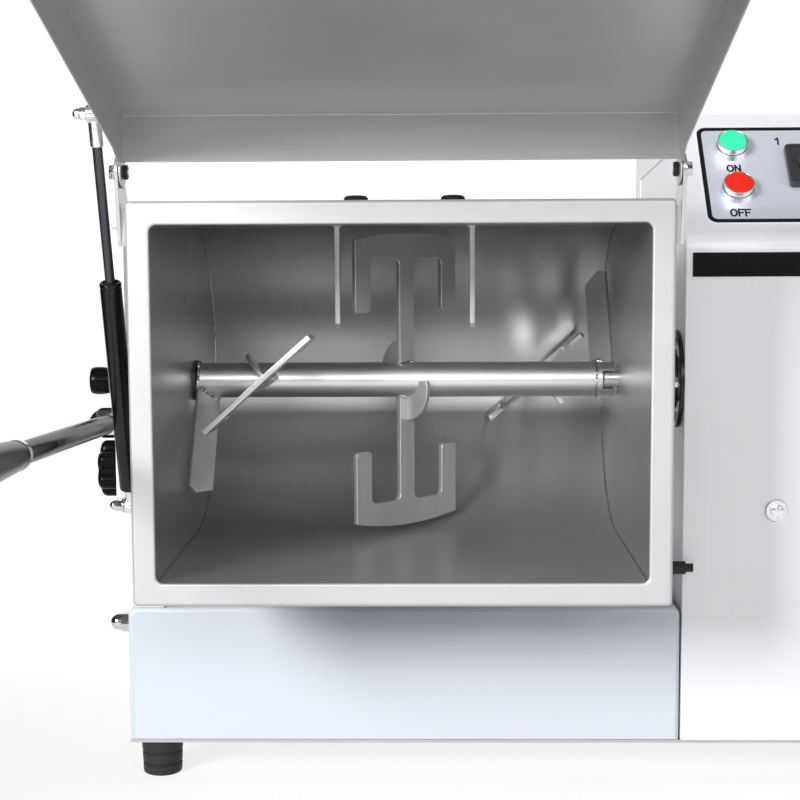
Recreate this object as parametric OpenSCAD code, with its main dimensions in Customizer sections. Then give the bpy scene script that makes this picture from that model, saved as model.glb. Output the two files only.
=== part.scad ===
// Tilting meat mixer: a trough on a left column and a right drive housing.
// The agitator turns on the tilt axis. The rest pose is tipped forward with the lid open.
// Every piece is drawn with the tilt axis along X through the origin and the mouth facing -Y,
// and at_axis() then moves it so that the origin is the middle of the footprint at the floor.

/* [Drum] */
// Inner length of the drum between its end walls
drum_len = 400; // [360:5:460]
// Inner radius of the rounded back of the drum
drum_r = 145; // [142:1:158]
// Distance from the axis to the mouth
mouth_d = 240; // [225:1:260]
// Thickness of the trough sheet
sheet_t = 2; // [1.5:0.1:2.5]
// Thickness of the two end walls
end_t = 3; // [2.5:0.1:4]
// Width of the flat rim round the mouth
rim_w = 19; // [17:0.5:22]
// Depth of the rim's folded edge
rim_d = 18; // [12:0.5:19]
// Outer corner radius of the rim
rim_corner = 6; // [3:0.5:9]

/* [Agitator] */
// Radius of the agitator shaft
shaft_r = 16.5; // [15:0.1:18]
// Gap between the shaft end and the end wall
shaft_gap = 3; // [3:0.1:4]
// Gap between the paddle tips and the trough
tip_gap = 6.4; // [3:0.1:9]
// Width of a fork paddle
paddle_w = 125; // [110:1:128]
// Thickness of a fork paddle
paddle_t = 5; // [4:0.1:6]
// Width of the paddle's stem
stem_w = 18; // [15:0.5:22]
// Width of the two outer prongs
prong_w = 18.5; // [15:0.5:22]
// Depth of the paddle's outer bar
fork_bar = 24; // [20:0.5:30]
// Distance from the axis to the prong tips
prong_from = 65; // [55:1:75]
// Pitch of the paddles about their stems
paddle_pitch = 42; // [35:1:48]
// Distance of the side paddles from the middle
side_paddle_x = 128; // [122:1:132]
// Width of the end scraper bars
scraper_w = 26; // [20:0.5:27]
// Thickness of the end scraper bars
scraper_t = 4; // [3:0.1:5]
// Length from the axis to the scraper tips
scraper_r = 124; // [105:1:134]
// Radius of the quarter disc gussets
gusset_r = 30; // [24:0.5:34]
// Thickness of the gussets
gusset_t = 4; // [3:0.1:5]

/* [Lid] */
// Depth of the lid's folded skirts
lid_depth = 40; // [30:1:46]
// Thickness of the lid sheet
lid_t = 1.5; // [1.2:0.1:2]
// Opening angle of the lid from closed
lid_open = 107; // [100:1:110]
// Distance of the hinge behind the mouth plane
hinge_back = 8; // [7:0.5:9]
// Distance of the hinge beyond the rim
hinge_out = 23; // [20:0.5:27]
// Radius of the hinge bolts
hinge_bolt_r = 4; // [3:0.1:5]

/* [Gas spring] */
// Radius of the gas spring's cylinder
gas_r = 9; // [8:0.1:9.5]
// Length of the cylinder
gas_len = 192; // [185:1:195]
// Radius of the piston rod
rod_r = 4; // [3.5:0.1:5]
// Distance of the gas spring from the rim's outer side
gas_out = 18; // [17:0.5:19]

/* [Tilt gear] */
// Thickness of the tilt plate
tilt_plate_t = 12; // [10:0.5:12]
// Radius of the clamp knob's arc slot about the axis
clamp_arc_r = 84; // [80:0.5:86]
// Radius of the tilt lever's tube
lever_r = 9; // [8:0.1:10]
// Length of the lever's bare tube
lever_len = 348; // [300:1:370]
// Length of the lever's grip
grip_len = 128; // [110:1:140]
// Radius of the left journal
journal_l_r = 20; // [18:0.1:22]
// Radius of the right journal
journal_r_r = 22; // [20:0.1:23]

/* [Base] */
// Height of the tilt axis above the base's top
axis_over_base = 210; // [205:1:230]
// Height of the base box
base_h = 130; // [110:1:150]
// Depth of the base and the housing
body_d = 360; // [330:5:400]
// Distance from the axis to the front of the machine
front_d = 45; // [45:0.5:48]
// Gap between the base's left face and the rim
base_side = 42; // [41.5:0.1:44]
// Height of the rubber feet
foot_h = 35; // [25:1:45]
// Radius of the rubber feet
foot_r = 20; // [16:0.5:24]
// Radius of the bolt holes in the base plate
bench_hole_r = 4.5; // [3:0.1:6]
// Spacing of the bolt holes across the machine
bench_dx = 560; // [520:1:580]
// Spacing of the bolt holes from front to rear
bench_dy = 260; // [230:1:270]

/* [Housing] */
// Width of the drive housing
housing_w = 200; // [198:1:230]
// Gap between the rim and the housing
housing_gap = 38; // [37:0.5:40]
// Height of the bend below the control panel, above the axis
bend_h = 131; // [125:1:140]
// Length of the sloped face
slope_len = 160; // [152:1:175]
// Angle of the sloped face's normal above level
slope_angle = 41.5; // [38:0.5:45]
// Thickness of the housing and base sheet
skin_t = 2; // [1.5:0.1:2.5]

/* [Control panel] */
// Width of the control panel plate
panel_w = 160; // [150:1:170]
// Height of the control panel plate
panel_h = 122; // [116:1:126]
// Radius of the button caps
cap_r = 13.95; // [12:0.05:14]
// Travel of the buttons
cap_travel = 4; // [2:0.1:4]
// Side of the square selector plate
selector_w = 50; // [44:1:56]

/* [Drive] */
// Module of the spur gears
gear_m = 2; // [1.9:0.05:2]
// Teeth of the gear on the drive shaft
gear_teeth = 36; // [36:2:36]
// Teeth of the motor's pinion
pinion_teeth = 18; // [18:2:18]
// Face width of the gears
gear_w = 14; // [10:0.5:15]
// Radius of the drive shaft
drive_r = 12.5; // [11:0.1:13]
// Radius of the motor
motor_r = 60; // [50:1:66]

/* [Fits] */
// Radial clearance of every running fit
run_gap = 0.05; // [0.03:0.01:0.08]
// Side gap between pieces that move past each other
side_gap = 0.6; // [0.4:0.05:0.7]

/* [Hidden] */
$fn = 64;
over = 1;

// Colours
steel = [0.72, 0.72, 0.73];
bright = [0.86, 0.86, 0.87];
lilac = [0.78, 0.78, 0.82];
blue_grey = [0.72, 0.76, 0.80];
black = [0.09, 0.09, 0.10];
chrome = [0.90, 0.90, 0.92];
bronze = [0.70, 0.55, 0.32];
cast = [0.62, 0.63, 0.65];

// Drum
rim_t = sheet_t;
mouth_corner = 5;
trough_front = -(mouth_d - rim_t);
drum_half = drum_len / 2;
wall_x = drum_half + end_t;
rim_x = drum_half + rim_w;
rim_z = drum_r + rim_w;
comb_x = 63;
comb_t = 5;
comb_w = 14;
comb_len = 95;
comb_y = -9;
comb_chamfer = 4;
bumper_mid = 2.5;
bumper_x = 40.5;
bumper_r = 10.2;
bumper_h = 22;
bumper_back = 72;
stop_lug_w = 42;
stop_lug_t = 6;
stop_lug_d = 30;
stop_lug_y = -60;
stop_lug_drop = 10;

// Lid hinge
hinge_y = -mouth_d + hinge_back;
hinge_z = rim_z + hinge_out;
lid_gap = 1.5;
lid_in_x = rim_x + lid_gap;
lid_side_x = lid_in_x + lid_t;
ear_x = lid_side_x + side_gap;
ear_t = 3;
ear_r = 13;
ear_foot_down = 36;
ear_foot_z = rim_z - ear_foot_down;
ear_foot_h = 30;
ear_foot_w = 14;
ear_foot_back = 5.5;
ear_wing = 37;
ear_wing_drop = 8;
lid_edge_gap = 2;
lid_edge = hinge_back - lid_edge_gap;
lid_rear = 6;
tab_share = 0.9;
lid_lap = 3;
lid_front = hinge_z + rim_z + lid_lap;
bolt_head_h = 5.5;
bolt_head_r = 6.5;
nut_h = 5;
acorn_neck_share = 0.35;
acorn_dome_share = 0.8;

// Gas spring
gas_x = -(rim_x + gas_out);
gas_eye_t = 11;
gas_eye_r = 7;
gas_pin_r = 3;
gas_neck = 17;
gas_wall = 1.5;
gas_cap = 8;
gas_fit_r = 5.25;
gas_fit_len = 26;
gas_piston_h = 6;
gas_reserve = 24;
gas_low_back = 101;
gas_low_in = 48;
gas_low_y = -mouth_d + gas_low_back;
gas_low_z = -(drum_r - gas_low_in);
gas_u = 40;
gas_v = 34;
gas_boss_r = 10;
gas_stud_gap = 0.6;
gas_washer_t = 2;
gas_stud_boss_r = 8;
gas_stud_boss_t = 3;
gas_top_y = hinge_y - gas_u * sin(lid_open) - gas_v * cos(lid_open);
gas_top_z = hinge_z - gas_u * cos(lid_open) + gas_v * sin(lid_open);
gas_full = norm([gas_top_y - gas_low_y, gas_top_z - gas_low_z]);
gas_lean = atan2(gas_low_y - gas_top_y, gas_top_z - gas_low_z);

// Base and column
base_left = -(rim_x + base_side);
house_left = rim_x + housing_gap;
house_right = house_left + housing_w;
front_y = -front_d;
rear_y = front_y + body_d;
base_top = -axis_over_base;
base_bottom = base_top - base_h;
floor_z = base_bottom - foot_h;
plate_t = 3;
column_in = 7;
column_left = base_left + column_in;
column_t = 28;
column_half = 45;
column_top = 25;
column_right = column_left + column_t;
bush_wall = 4;
bush_flange_r = 27;
bush_flange_t = 2.6;
foot_in_x = 26;
foot_in_y = 26;
foot_stud_r = 4;
foot_stud_h = 8;
foot_taper_share = 0.9;
base_corner = 8;
side_nut_in = 25;
side_nut_down = 19;
side_nut_r = 9.8;

// Tilt gear
thrust_gap = 0.4;
tilt_plate_x = column_left - bush_flange_t - thrust_gap;
tilt_plate_out = tilt_plate_x - tilt_plate_t;
tilt_half = 45;
tilt_up = 145;
tilt_down = 110;
tilt_corner = 8;
clamp_edge = 16;
sector_r = clamp_arc_r + clamp_edge;
clamp_r = 5;
clamp_slot_gap = 0.3;
clamp_washer_t = 4;
clamp_washer_r = 13;
clamp_knob_t = 18;
clamp_core_r = 20;
clamp_lobe_r = 8.5;
clamp_lobe_at = 18.5;
clamp_bite = 20;
flange_l_r = 45;
flange_l_t = 6;
pin_r = 6;
pin_in = 18;
pin_reach = 12;
pin_knob_r = 13.2;
pin_knob_len = 18;
pin_knob_step_share = 0.8;
pin_knob_end_share = 0.85;
pin_guide = 24;
shaft_bush_r = 12;
shaft_bush_flange_r = 19;
shaft_bush_flange_t = 2.5;
shaft_bush_len = 40;
lever_y = -20;
lever_z = -38;
lever_rise = 2.66;
lever_neck_r = 6;
lever_neck_len = 14;
hub_r = 14.5;
hub_out = 14.5;
lever_off = 7.5;
lever_x = tilt_plate_out - lever_off;
grip_r = 11;
grip_end_r = 15;
grip_lap = 20;

// Agitator
shaft_end = drum_half - shaft_gap;
coupling_slot = 12;
coupling_slot_h = 17;
tongue_h = 13.5;
tongue_gap = 2;
tip_r = drum_r - tip_gap;
paddle_half = paddle_w / 2;
arc_drop = tip_r - sqrt(pow(tip_r, 2) - pow(paddle_half * sin(paddle_pitch), 2));
paddle_arc_r = (pow(paddle_half, 2) + pow(arc_drop, 2)) / (2 * arc_drop);
notch_w = paddle_half - prong_w - stem_w / 2;
notch_corner = 6;
prong_corner = 4;
side_pair_turn = 87;
scraper_turn = 142;
scraper_pitch = -45;
scraper_in = 10.5;
scraper_x = shaft_end - scraper_in;
scraper_cut = 9;

// Drive
flange_r_r = 63.5;
flange_r_t = 8;
drive_clear = 1.5;
drive_bore_r = drive_r + drive_clear;
bearing_flange_r = 46;
bearing_flange_t = 4;
seal_r = 29;
seal_out = 6;
bolt_ring_r = 36;
bearing_nut_r = 5.5;
bearing_nut_h = 5;
case_gap = 25;
case_x = house_left + skin_t + case_gap;
case_wall = 5;
case_skin = 3;
case_room = 44;
case_pinion_r = 34;
case_end = case_x + case_room + 2 * case_wall;
tube_clear = 0.25;
case_tube_r = bolt_ring_r + bearing_nut_r / 2 + tube_clear + case_skin;
ball_r = 24;
ball_t = 12;
gear_in = 15;
gear_x = case_x + case_wall + gear_in;
tooth_share = 0.42;
tip_share = 0.94;
root_wide = 1.5;
tip_wide = 0.5;
root_share = 1.25;
gear_room = 1.1;
case_r = gear_m * gear_teeth / 2 + tip_share * gear_m + gear_room + case_skin;
centre_d = gear_m * (gear_teeth + pinion_teeth) / 2;
pinion_shaft_r = 8;
motor_len = 108;
motor_fins = 20;
fin_h = 5;
fin_t = 2;
motor_cap_len = 22;
motor_bore = 22;

// Housing
slope_y = slope_len * sin(slope_angle);
slope_z = slope_len * cos(slope_angle);
house_top = bend_h + slope_z;
slope_end_y = front_y + slope_y;
cover_t = 1.2;
cover_front_drop = 36;
cover_rear_drop = 55;
cover_back = 34;
screw_r = 4;
screw_h = 2.5;
front_bolt_in = 86;
front_bolt_x = house_left + front_bolt_in;
front_bolt_z = -119;
front_bolt_r = 6.5;
front_bolt_h = 5.5;
washer_r = 10;
washer_t = 1.6;
stop_r = 6;
stop_len = 23;
stop_y = stop_lug_y;
stop_gap = 0.3;
stop_z = -(drum_r + sheet_t + stop_lug_drop + stop_lug_t + stop_r + stop_gap);
stop_bolt_r = 4;

// Control panel
panel_t = 1;
panel_corner = 9;
panel_from = 19;
panel_in = 21.5;
panel_left = house_left + panel_in;
button_in = 31;
button_x = panel_left + button_in;
stop_up = 39;
stop_s = panel_from + stop_up;
start_up = 93;
start_s = panel_from + start_up;
bezel_r = 16;
bezel_h = 6;
bezel_in_r = cap_r + run_gap;
bezel_neck_r = 11;
bezel_neck = 16;
bezel_floor = 1.5;
cap_h = 6.5;
cap_gap = 0.5;
cap_lift = bezel_floor + cap_travel + cap_gap;
stem_r = 4;
block_gap = 1.5;
block_w = 30;
block_d = 44;
selector_in = 105;
selector_x = panel_left + selector_in;
selector_up = 67.5;
selector_s = panel_from + selector_up;
selector_t = 8;
selector_corner = 3;
selector_hub_r = 17;
selector_hub_h = 5;
selector_bar_w = 9;
selector_bar_h = 13;
selector_bar_len = 32;
selector_pin_r = 4;
label_in = 6;
label_x = house_left + label_in;
label_w = 114;
label_h = 22;
label_z = 97;
label_t = 1;

// Rear of the housing
gland_in = 45;
gland_x = house_right - gland_in;
gland_up = 50;
gland_z = base_bottom + gland_up;
gland_r = 12;
gland_len = 22;
gland_bore_r = 5;
gland_nut = 6;
gland_tube_share = 0.8;
rail_z = 60;
contactor_w = 45;
contactor_h = 80;
contactor_d = 60;
contactor_gap = 12;

// Reference point: the middle of the outer box at the floor
knob_end_x = tilt_plate_out - pin_reach - pin_knob_len;
screw_end_x = house_right + cover_t + screw_h;
lid_tip_y = hinge_y - lid_front * sin(lid_open) - lid_edge * cos(lid_open);
gland_end_y = rear_y + cover_t + gland_len;
mid_x = (knob_end_x + screw_end_x) / 2;
mid_y = (lid_tip_y + gland_end_y) / 2;

module at_axis() translate([-mid_x, -mid_y, -floor_z]) children();

// A flat outline given in Y and Z, thickened along X
module along_x(x0, len) translate([x0, 0, 0]) rotate([90, 0, 90]) linear_extrude(len) children();

// A flat outline given in X and Z, thickened along Y
module along_y(y0, len) translate([0, y0 + len, 0]) rotate([90, 0, 0]) linear_extrude(len) children();

module rod_x(x0, x1, r) translate([x0, 0, 0]) rotate([0, 90, 0]) cylinder(h = x1 - x0, r = r);

module box(a, b) translate(a) cube(b - a);

module rounded(w, h, r) {
    square([w - 2 * r, h], center = true);
    square([w, h - 2 * r], center = true);
    for (sx = [-1, 1], sy = [-1, 1]) translate([sx * (w / 2 - r), sy * (h / 2 - r)]) circle(r);
}

// Outline of the drum across its length
module drum_outline(r, y0) {
    circle(r, $fn = 128);
    translate([y0, -r]) square([-y0, 2 * r]);
}

// A domed nut that points along X from x0
module acorn(x0, dir, r) {
    neck_h = r * acorn_neck_share;
    dome_r = r * acorn_dome_share;
    translate([x0, 0, 0]) rotate([0, dir * 90, 0]) {
        cylinder(h = r, r = r, $fn = 6);
        translate([0, 0, r]) cylinder(h = neck_h, r = dome_r);
        translate([0, 0, r + neck_h]) difference() {
            sphere(dome_r);
            translate([0, 0, -r]) cube(2 * r, center = true);
        }
    }
}

module drum_trough() color(steel) at_axis() along_x(-drum_half, drum_len) difference() {
    drum_outline(drum_r + sheet_t, trough_front);
    drum_outline(drum_r, trough_front - over);
}

module end_wall(x0, hole_r) along_x(x0, end_t) difference() {
    drum_outline(drum_r + sheet_t, trough_front);
    circle(hole_r);
}

module left_end_wall() color(steel) at_axis() end_wall(-wall_x, shaft_bush_r);

module right_end_wall() color(steel) at_axis() end_wall(drum_half, drive_bore_r);

module stop_lug() color(steel) at_axis() {
    lug_top = -(drum_r + sheet_t + stop_lug_drop);
    lug_front = stop_lug_y - stop_lug_d / 2;
    lug_rear = lug_front + stop_lug_d;
    box([wall_x, lug_front, lug_top - stop_lug_t], [drum_half + stop_lug_w, lug_rear, lug_top]);
    box([wall_x, lug_front, lug_top], [wall_x + stop_lug_t, lug_rear, -drum_r]);
}

module drum_rim() color(bright) at_axis() {
    along_y(-mouth_d, rim_t) difference() {
        rounded(2 * rim_x, 2 * rim_z, rim_corner);
        rounded(drum_len, 2 * drum_r, mouth_corner);
    }
    along_y(trough_front, rim_d - rim_t) difference() {
        rounded(2 * rim_x, 2 * rim_z, rim_corner);
        rounded(2 * (rim_x - sheet_t), 2 * (rim_z - sheet_t), rim_corner - sheet_t);
    }
}

module comb_bars() color(steel) at_axis() for (s = [-1, 1])
    along_x(s * comb_x - comb_t / 2, comb_t) polygon([
        [comb_y - comb_w / 2, drum_r], [comb_y + comb_w / 2, drum_r],
        [comb_y + comb_w / 2, drum_r - comb_len],
        [comb_y - comb_w / 2 + comb_chamfer, drum_r - comb_len],
        [comb_y - comb_w / 2, drum_r - comb_len + comb_chamfer]]);

module rear_bumpers() color(black) at_axis() for (s = [-1, 1])
    translate([bumper_mid + s * bumper_x, bumper_back - mouth_d, drum_r + sheet_t])
        cylinder(h = bumper_h, r = bumper_r);

module ear(x0, pad_x0) {
    foot_y = -mouth_d + ear_foot_back;
    along_x(x0, ear_t) difference() {
        union() {
            translate([hinge_y, hinge_z]) circle(ear_r);
            polygon([[foot_y, ear_foot_z], [foot_y + ear_foot_w, ear_foot_z],
                [ear_wing - mouth_d, rim_z - ear_wing_drop], [ear_wing - mouth_d, rim_z],
                [hinge_y + ear_r, hinge_z], [hinge_y - ear_r, hinge_z]]);
        }
        translate([hinge_y, hinge_z]) circle(hinge_bolt_r);
    }
    box([pad_x0, foot_y, ear_foot_z],
        [pad_x0 + ear_x - rim_x, foot_y + ear_foot_w, ear_foot_z + ear_foot_h]);
}

module hinge_ears() color(steel) at_axis() {
    ear(ear_x, rim_x);
    ear(-ear_x - ear_t, -ear_x);
}

module hinge_bolts() color(chrome) at_axis() for (s = [-1, 1]) translate([0, hinge_y, hinge_z])
    mirror([s < 0 ? 1 : 0, 0, 0]) {
        rod_x(lid_in_x - nut_h, ear_x + ear_t, hinge_bolt_r);
        translate([ear_x + ear_t, 0, 0]) rotate([0, 90, 0])
            cylinder(h = bolt_head_h, r = bolt_head_r, $fn = 6);
        rod_x(lid_in_x - nut_h, lid_in_x - side_gap / 2, bolt_head_r);
    }

module left_trunnion() color(steel) at_axis() difference() {
    union() {
        rod_x(-wall_x - flange_l_t, -wall_x, flange_l_r);
        rod_x(tilt_plate_out, -wall_x, journal_l_r);
    }
    rod_x(tilt_plate_out + pin_guide, -wall_x + over, shaft_bush_r);
    rod_x(tilt_plate_out - over, -wall_x, pin_r + run_gap);
}

module right_trunnion() color(steel) at_axis() difference() {
    union() {
        rod_x(wall_x, wall_x + flange_r_t, flange_r_r);
        rod_x(wall_x, case_x - case_wall, journal_r_r);
    }
    rod_x(wall_x - over, case_x, drive_bore_r);
}

module left_shaft_bush() color(black) at_axis() difference() {
    union() {
        rod_x(-drum_half, -drum_half + shaft_bush_flange_t, shaft_bush_flange_r);
        rod_x(-drum_half - shaft_bush_len, -drum_half, shaft_bush_r);
    }
    rod_x(-drum_half - shaft_bush_len - over, -drum_half + shaft_bush_flange_t + over, pin_r + run_gap);
}

module tilt_plate() color(lilac) at_axis() along_x(tilt_plate_out, tilt_plate_t) difference() {
    union() {
        translate([0, (tilt_up - tilt_down) / 2]) rounded(2 * tilt_half, tilt_up + tilt_down, tilt_corner);
        intersection() {
            circle(sector_r);
            translate([0, -sector_r]) square(sector_r);
        }
        translate([clamp_arc_r, 0]) circle(sector_r - clamp_arc_r);
    }
    circle(journal_l_r);
    slot_half = clamp_r + clamp_slot_gap;
    intersection() {
        difference() {
            circle(clamp_arc_r + slot_half);
            circle(clamp_arc_r - slot_half);
        }
        translate([0, -sector_r]) square(sector_r);
    }
    translate([0, -clamp_arc_r]) circle(slot_half);
    translate([clamp_arc_r, 0]) circle(slot_half);
}

module on_lever() translate([lever_x, lever_y, lever_z]) rotate([90 - lever_rise, 0, 0]) children();

module tilt_lever() color(chrome) at_axis() {
    translate([tilt_plate_out, lever_y, lever_z]) rotate([0, -90, 0]) rotate_extrude() intersection() {
        union() {
            square([hub_r, hub_out]);
            translate([0, hub_out]) circle(hub_r);
        }
        square([hub_r, hub_out + hub_r]);
    }
    on_lever() {
        translate([0, 0, hub_r / 2]) cylinder(h = lever_neck_len + hub_r / 2, r = lever_neck_r);
        translate([0, 0, hub_r + lever_neck_len]) cylinder(h = lever_len, r = lever_r);
    }
}

module lever_grip() color(black) at_axis() on_lever() {
    grip_from = hub_r + lever_neck_len + lever_len - grip_lap;
    difference() {
        translate([0, 0, grip_from]) union() {
            cylinder(h = grip_len - grip_end_r, r1 = grip_r, r2 = grip_end_r);
            translate([0, 0, grip_len - grip_end_r]) sphere(grip_end_r);
        }
        cylinder(h = grip_from + grip_lap, r = lever_r);
    }
}

module gas_lower_mount() color(chrome) at_axis() translate([0, gas_low_y, gas_low_z]) {
    rod_x(gas_x + gas_eye_t / 2 + side_gap, -wall_x, gas_boss_r);
    rod_x(gas_x - gas_eye_t / 2 - side_gap, gas_x + gas_eye_t / 2 + side_gap, gas_pin_r);
    rod_x(gas_x - gas_eye_t / 2 - side_gap - gas_washer_t, gas_x - gas_eye_t / 2 - side_gap, gas_fit_r);
    acorn(gas_x - gas_eye_t / 2 - side_gap - gas_washer_t, -1, gas_fit_r);
}

// The lid is drawn shut about its hinge and then swung open
module on_lid() translate([0, hinge_y, hinge_z]) rotate([-lid_open, 0, 0]) children();

module lid_shell() color(steel) at_axis() on_lid() {
    lid_back = -(lid_edge + lid_depth);
    difference() {
        box([-lid_side_x, lid_back, -lid_front], [lid_side_x, -lid_edge, -lid_rear]);
        box([-lid_in_x, lid_back + lid_t, -lid_front + lid_t], [lid_in_x, over, -lid_rear - lid_t]);
    }
    for (x0 = [-lid_side_x, lid_in_x]) along_x(x0, lid_t) difference() {
        union() {
            circle(ear_r);
            polygon([[-lid_edge, ear_r * tab_share], [-lid_edge - ear_r, 0], [-lid_edge - ear_r, -lid_rear],
                [-lid_edge, -lid_rear], [-lid_edge, -3 * ear_r], [0, -ear_r * tab_share]]);
        }
        circle(hinge_bolt_r + run_gap);
    }
}

module lid_gas_stud() color(chrome) at_axis() on_lid() translate([0, -gas_v, -gas_u]) {
    rod_x(-lid_side_x - gas_stud_boss_t, -lid_side_x, gas_stud_boss_r);
    rod_x(gas_x + gas_eye_t / 2 + gas_stud_gap, -lid_side_x - gas_stud_boss_t, gas_pin_r);
}

module on_spring() translate([gas_x, gas_low_y, gas_low_z]) rotate([gas_lean, 0, 0]) children();

module gas_cylinder() color(black) at_axis() on_spring() translate([0, 0, gas_neck]) difference() {
    cylinder(h = gas_len, r = gas_r);
    translate([0, 0, gas_cap]) cylinder(h = gas_len - 2 * gas_cap, r = gas_r - gas_wall);
    translate([0, 0, gas_len / 2]) cylinder(h = gas_len, r = rod_r + run_gap);
}

// A flat eye with a neck, drawn with the eye at the origin
module gas_eye(len, hole_r) difference() {
    union() {
        rod_x(-gas_eye_t / 2, gas_eye_t / 2, gas_eye_r);
        cylinder(h = len, r = gas_fit_r);
    }
    rod_x(-gas_eye_r, gas_eye_r, hole_r);
}

module gas_cylinder_end() color(chrome) at_axis() on_spring() gas_eye(gas_neck, gas_pin_r + run_gap);

module gas_rod() color(black) at_axis() on_spring() {
    piston_z = gas_neck + gas_len - gas_cap - gas_reserve;
    translate([0, 0, piston_z]) cylinder(h = gas_full - gas_fit_len - piston_z, r = rod_r);
    translate([0, 0, piston_z]) cylinder(h = gas_piston_h, r = gas_r - gas_wall - run_gap);
}

module gas_rod_end() color(chrome) at_axis() on_spring() translate([0, 0, gas_full]) {
    mirror([0, 0, 1]) gas_eye(gas_fit_len, gas_pin_r);
    rod_x(-gas_eye_t / 2, gas_eye_t / 2, gas_pin_r);
    acorn(-gas_eye_t / 2, -1, gas_fit_r);
}

module agitator_shaft() color(steel) at_axis() difference() {
    rod_x(-shaft_end, shaft_end, shaft_r);
    rod_x(-shaft_end - over, -shaft_end + pin_in + tongue_gap, pin_r + run_gap);
    box([shaft_end - coupling_slot, -shaft_r - over, -coupling_slot_h / 2],
        [shaft_end + over, shaft_r + over, coupling_slot_h / 2]);
}

module fork_outline() {
    notch_top = tip_r - fork_bar;
    notch_x = stem_w / 2 + notch_w / 2;
    difference() {
        intersection() {
            translate([-paddle_half, 0]) square([paddle_w, tip_r]);
            translate([0, tip_r - paddle_arc_r]) circle(paddle_arc_r, $fn = 256);
        }
        for (s = [-1, 1]) {
            translate([s * notch_x, notch_top - tip_r / 2]) rounded(notch_w, tip_r, notch_corner);
            translate([s * (paddle_half - prong_w / 2), 0]) difference() {
                translate([-prong_w / 2 - over, -over])
                    square([prong_w + 2 * over, prong_from + prong_corner + over]);
                translate([0, prong_from + 2 * prong_corner])
                    rounded(prong_w, 4 * prong_corner, prong_corner);
            }
        }
    }
}

// A plate whose outline lies in the pitched plane, with its outer end along Z or -Z
module pitched(pitch, t) rotate([0, 0, pitch]) translate([0, t / 2, 0]) rotate([90, 0, 0])
    linear_extrude(t) children();

module clear_of_shaft() difference() {
    children();
    rod_x(-drum_half, drum_half, shaft_r);
}

module centre_paddles() color(steel) at_axis() clear_of_shaft() pitched(paddle_pitch, paddle_t)
    for (turn = [0, 180]) rotate(turn) fork_outline();

module side_paddles() color(steel) at_axis() clear_of_shaft() rotate([side_pair_turn, 0, 0]) {
    translate([-side_paddle_x, 0, 0]) pitched(paddle_pitch, paddle_t) fork_outline();
    translate([side_paddle_x, 0, 0]) pitched(paddle_pitch, paddle_t) rotate(180) fork_outline();
}

module scraper_outline() polygon([
    [-scraper_w / 2, 0], [scraper_w / 2, 0], [scraper_w / 2, scraper_r - scraper_cut],
    [-scraper_w / 2 + scraper_cut, scraper_r], [-scraper_w / 2, scraper_r - scraper_cut / 2]]);

module end_scrapers() color(steel) at_axis() clear_of_shaft() for (s = [-1, 1])
    translate([s * scraper_x, 0, 0]) rotate([scraper_turn + (s > 0 ? 180 : 0), 0, 0])
        pitched(scraper_pitch, scraper_t) mirror([s > 0 ? 1 : 0, 0, 0]) scraper_outline();

// A quarter disc that stands on the paddle's face at its foot
module gusset(pitch) rotate([0, 0, pitch]) intersection() {
    translate([-gusset_t / 2, paddle_t / 2, 0]) rotate([90, 0, 90]) linear_extrude(gusset_t)
        intersection() {
            translate([0, shaft_r / 2]) circle(gusset_r);
            square(2 * gusset_r);
        }
    translate([0, 0, gusset_r]) cube(4 * gusset_r, center = true);
}

module paddle_gussets() color(steel) at_axis() clear_of_shaft() {
    gusset(paddle_pitch);
    rotate([180, 0, 0]) gusset(-paddle_pitch);
    rotate([side_pair_turn, 0, 0]) {
        translate([-side_paddle_x, 0, 0]) gusset(paddle_pitch);
        translate([side_paddle_x, 0, 0]) rotate([180, 0, 0]) gusset(-paddle_pitch);
    }
}

module drive_shaft() color(chrome) at_axis() {
    intersection() {
        rod_x(shaft_end - coupling_slot + tongue_gap, drum_half, drive_r);
        box([0, -shaft_r, -tongue_h / 2], [drum_half, shaft_r, tongue_h / 2]);
    }
    rod_x(drum_half, case_end, drive_r);
}

// A spur gear in its own plane with one tooth centred on the first axis
module gear_outline(teeth) {
    pitch_r = gear_m * teeth / 2;
    root_r = pitch_r - root_share * gear_m;
    outer_r = pitch_r + tip_share * gear_m;
    half = 360 / teeth * tooth_share / 2;
    flank = [[root_r, -root_wide * half], [pitch_r, -half], [outer_r, -tip_wide * half],
        [outer_r, tip_wide * half], [pitch_r, half], [root_r, root_wide * half]];
    polygon([for (i = [0 : teeth - 1], f = flank)
        [f[0] * cos(f[1] + i * 360 / teeth), f[0] * sin(f[1] + i * 360 / teeth)]]);
}

module drive_gear() color(bronze) at_axis() along_x(gear_x, gear_w) difference() {
    gear_outline(gear_teeth);
    circle(drive_r);
}

module motor_pinion() color(steel) at_axis() translate([0, centre_d, 0]) {
    along_x(gear_x, gear_w) rotate(180 / pinion_teeth) gear_outline(pinion_teeth);
    rod_x(gear_x, case_end + motor_bore - tongue_gap, pinion_shaft_r);
}

module shaft_pin() color(chrome) at_axis() {
    rod_x(tilt_plate_out - pin_reach, -shaft_end + pin_in, pin_r);
}

module pin_knob() color(black) at_axis() {
    knob_x = tilt_plate_out - pin_reach;
    step = pin_knob_len * pin_knob_step_share;
    rod_x(knob_x - step, knob_x, pin_knob_r);
    translate([knob_x - pin_knob_len, 0, 0]) rotate([0, 90, 0])
        cylinder(h = pin_knob_len - step, r1 = pin_knob_r * pin_knob_end_share, r2 = pin_knob_r);
}

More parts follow.
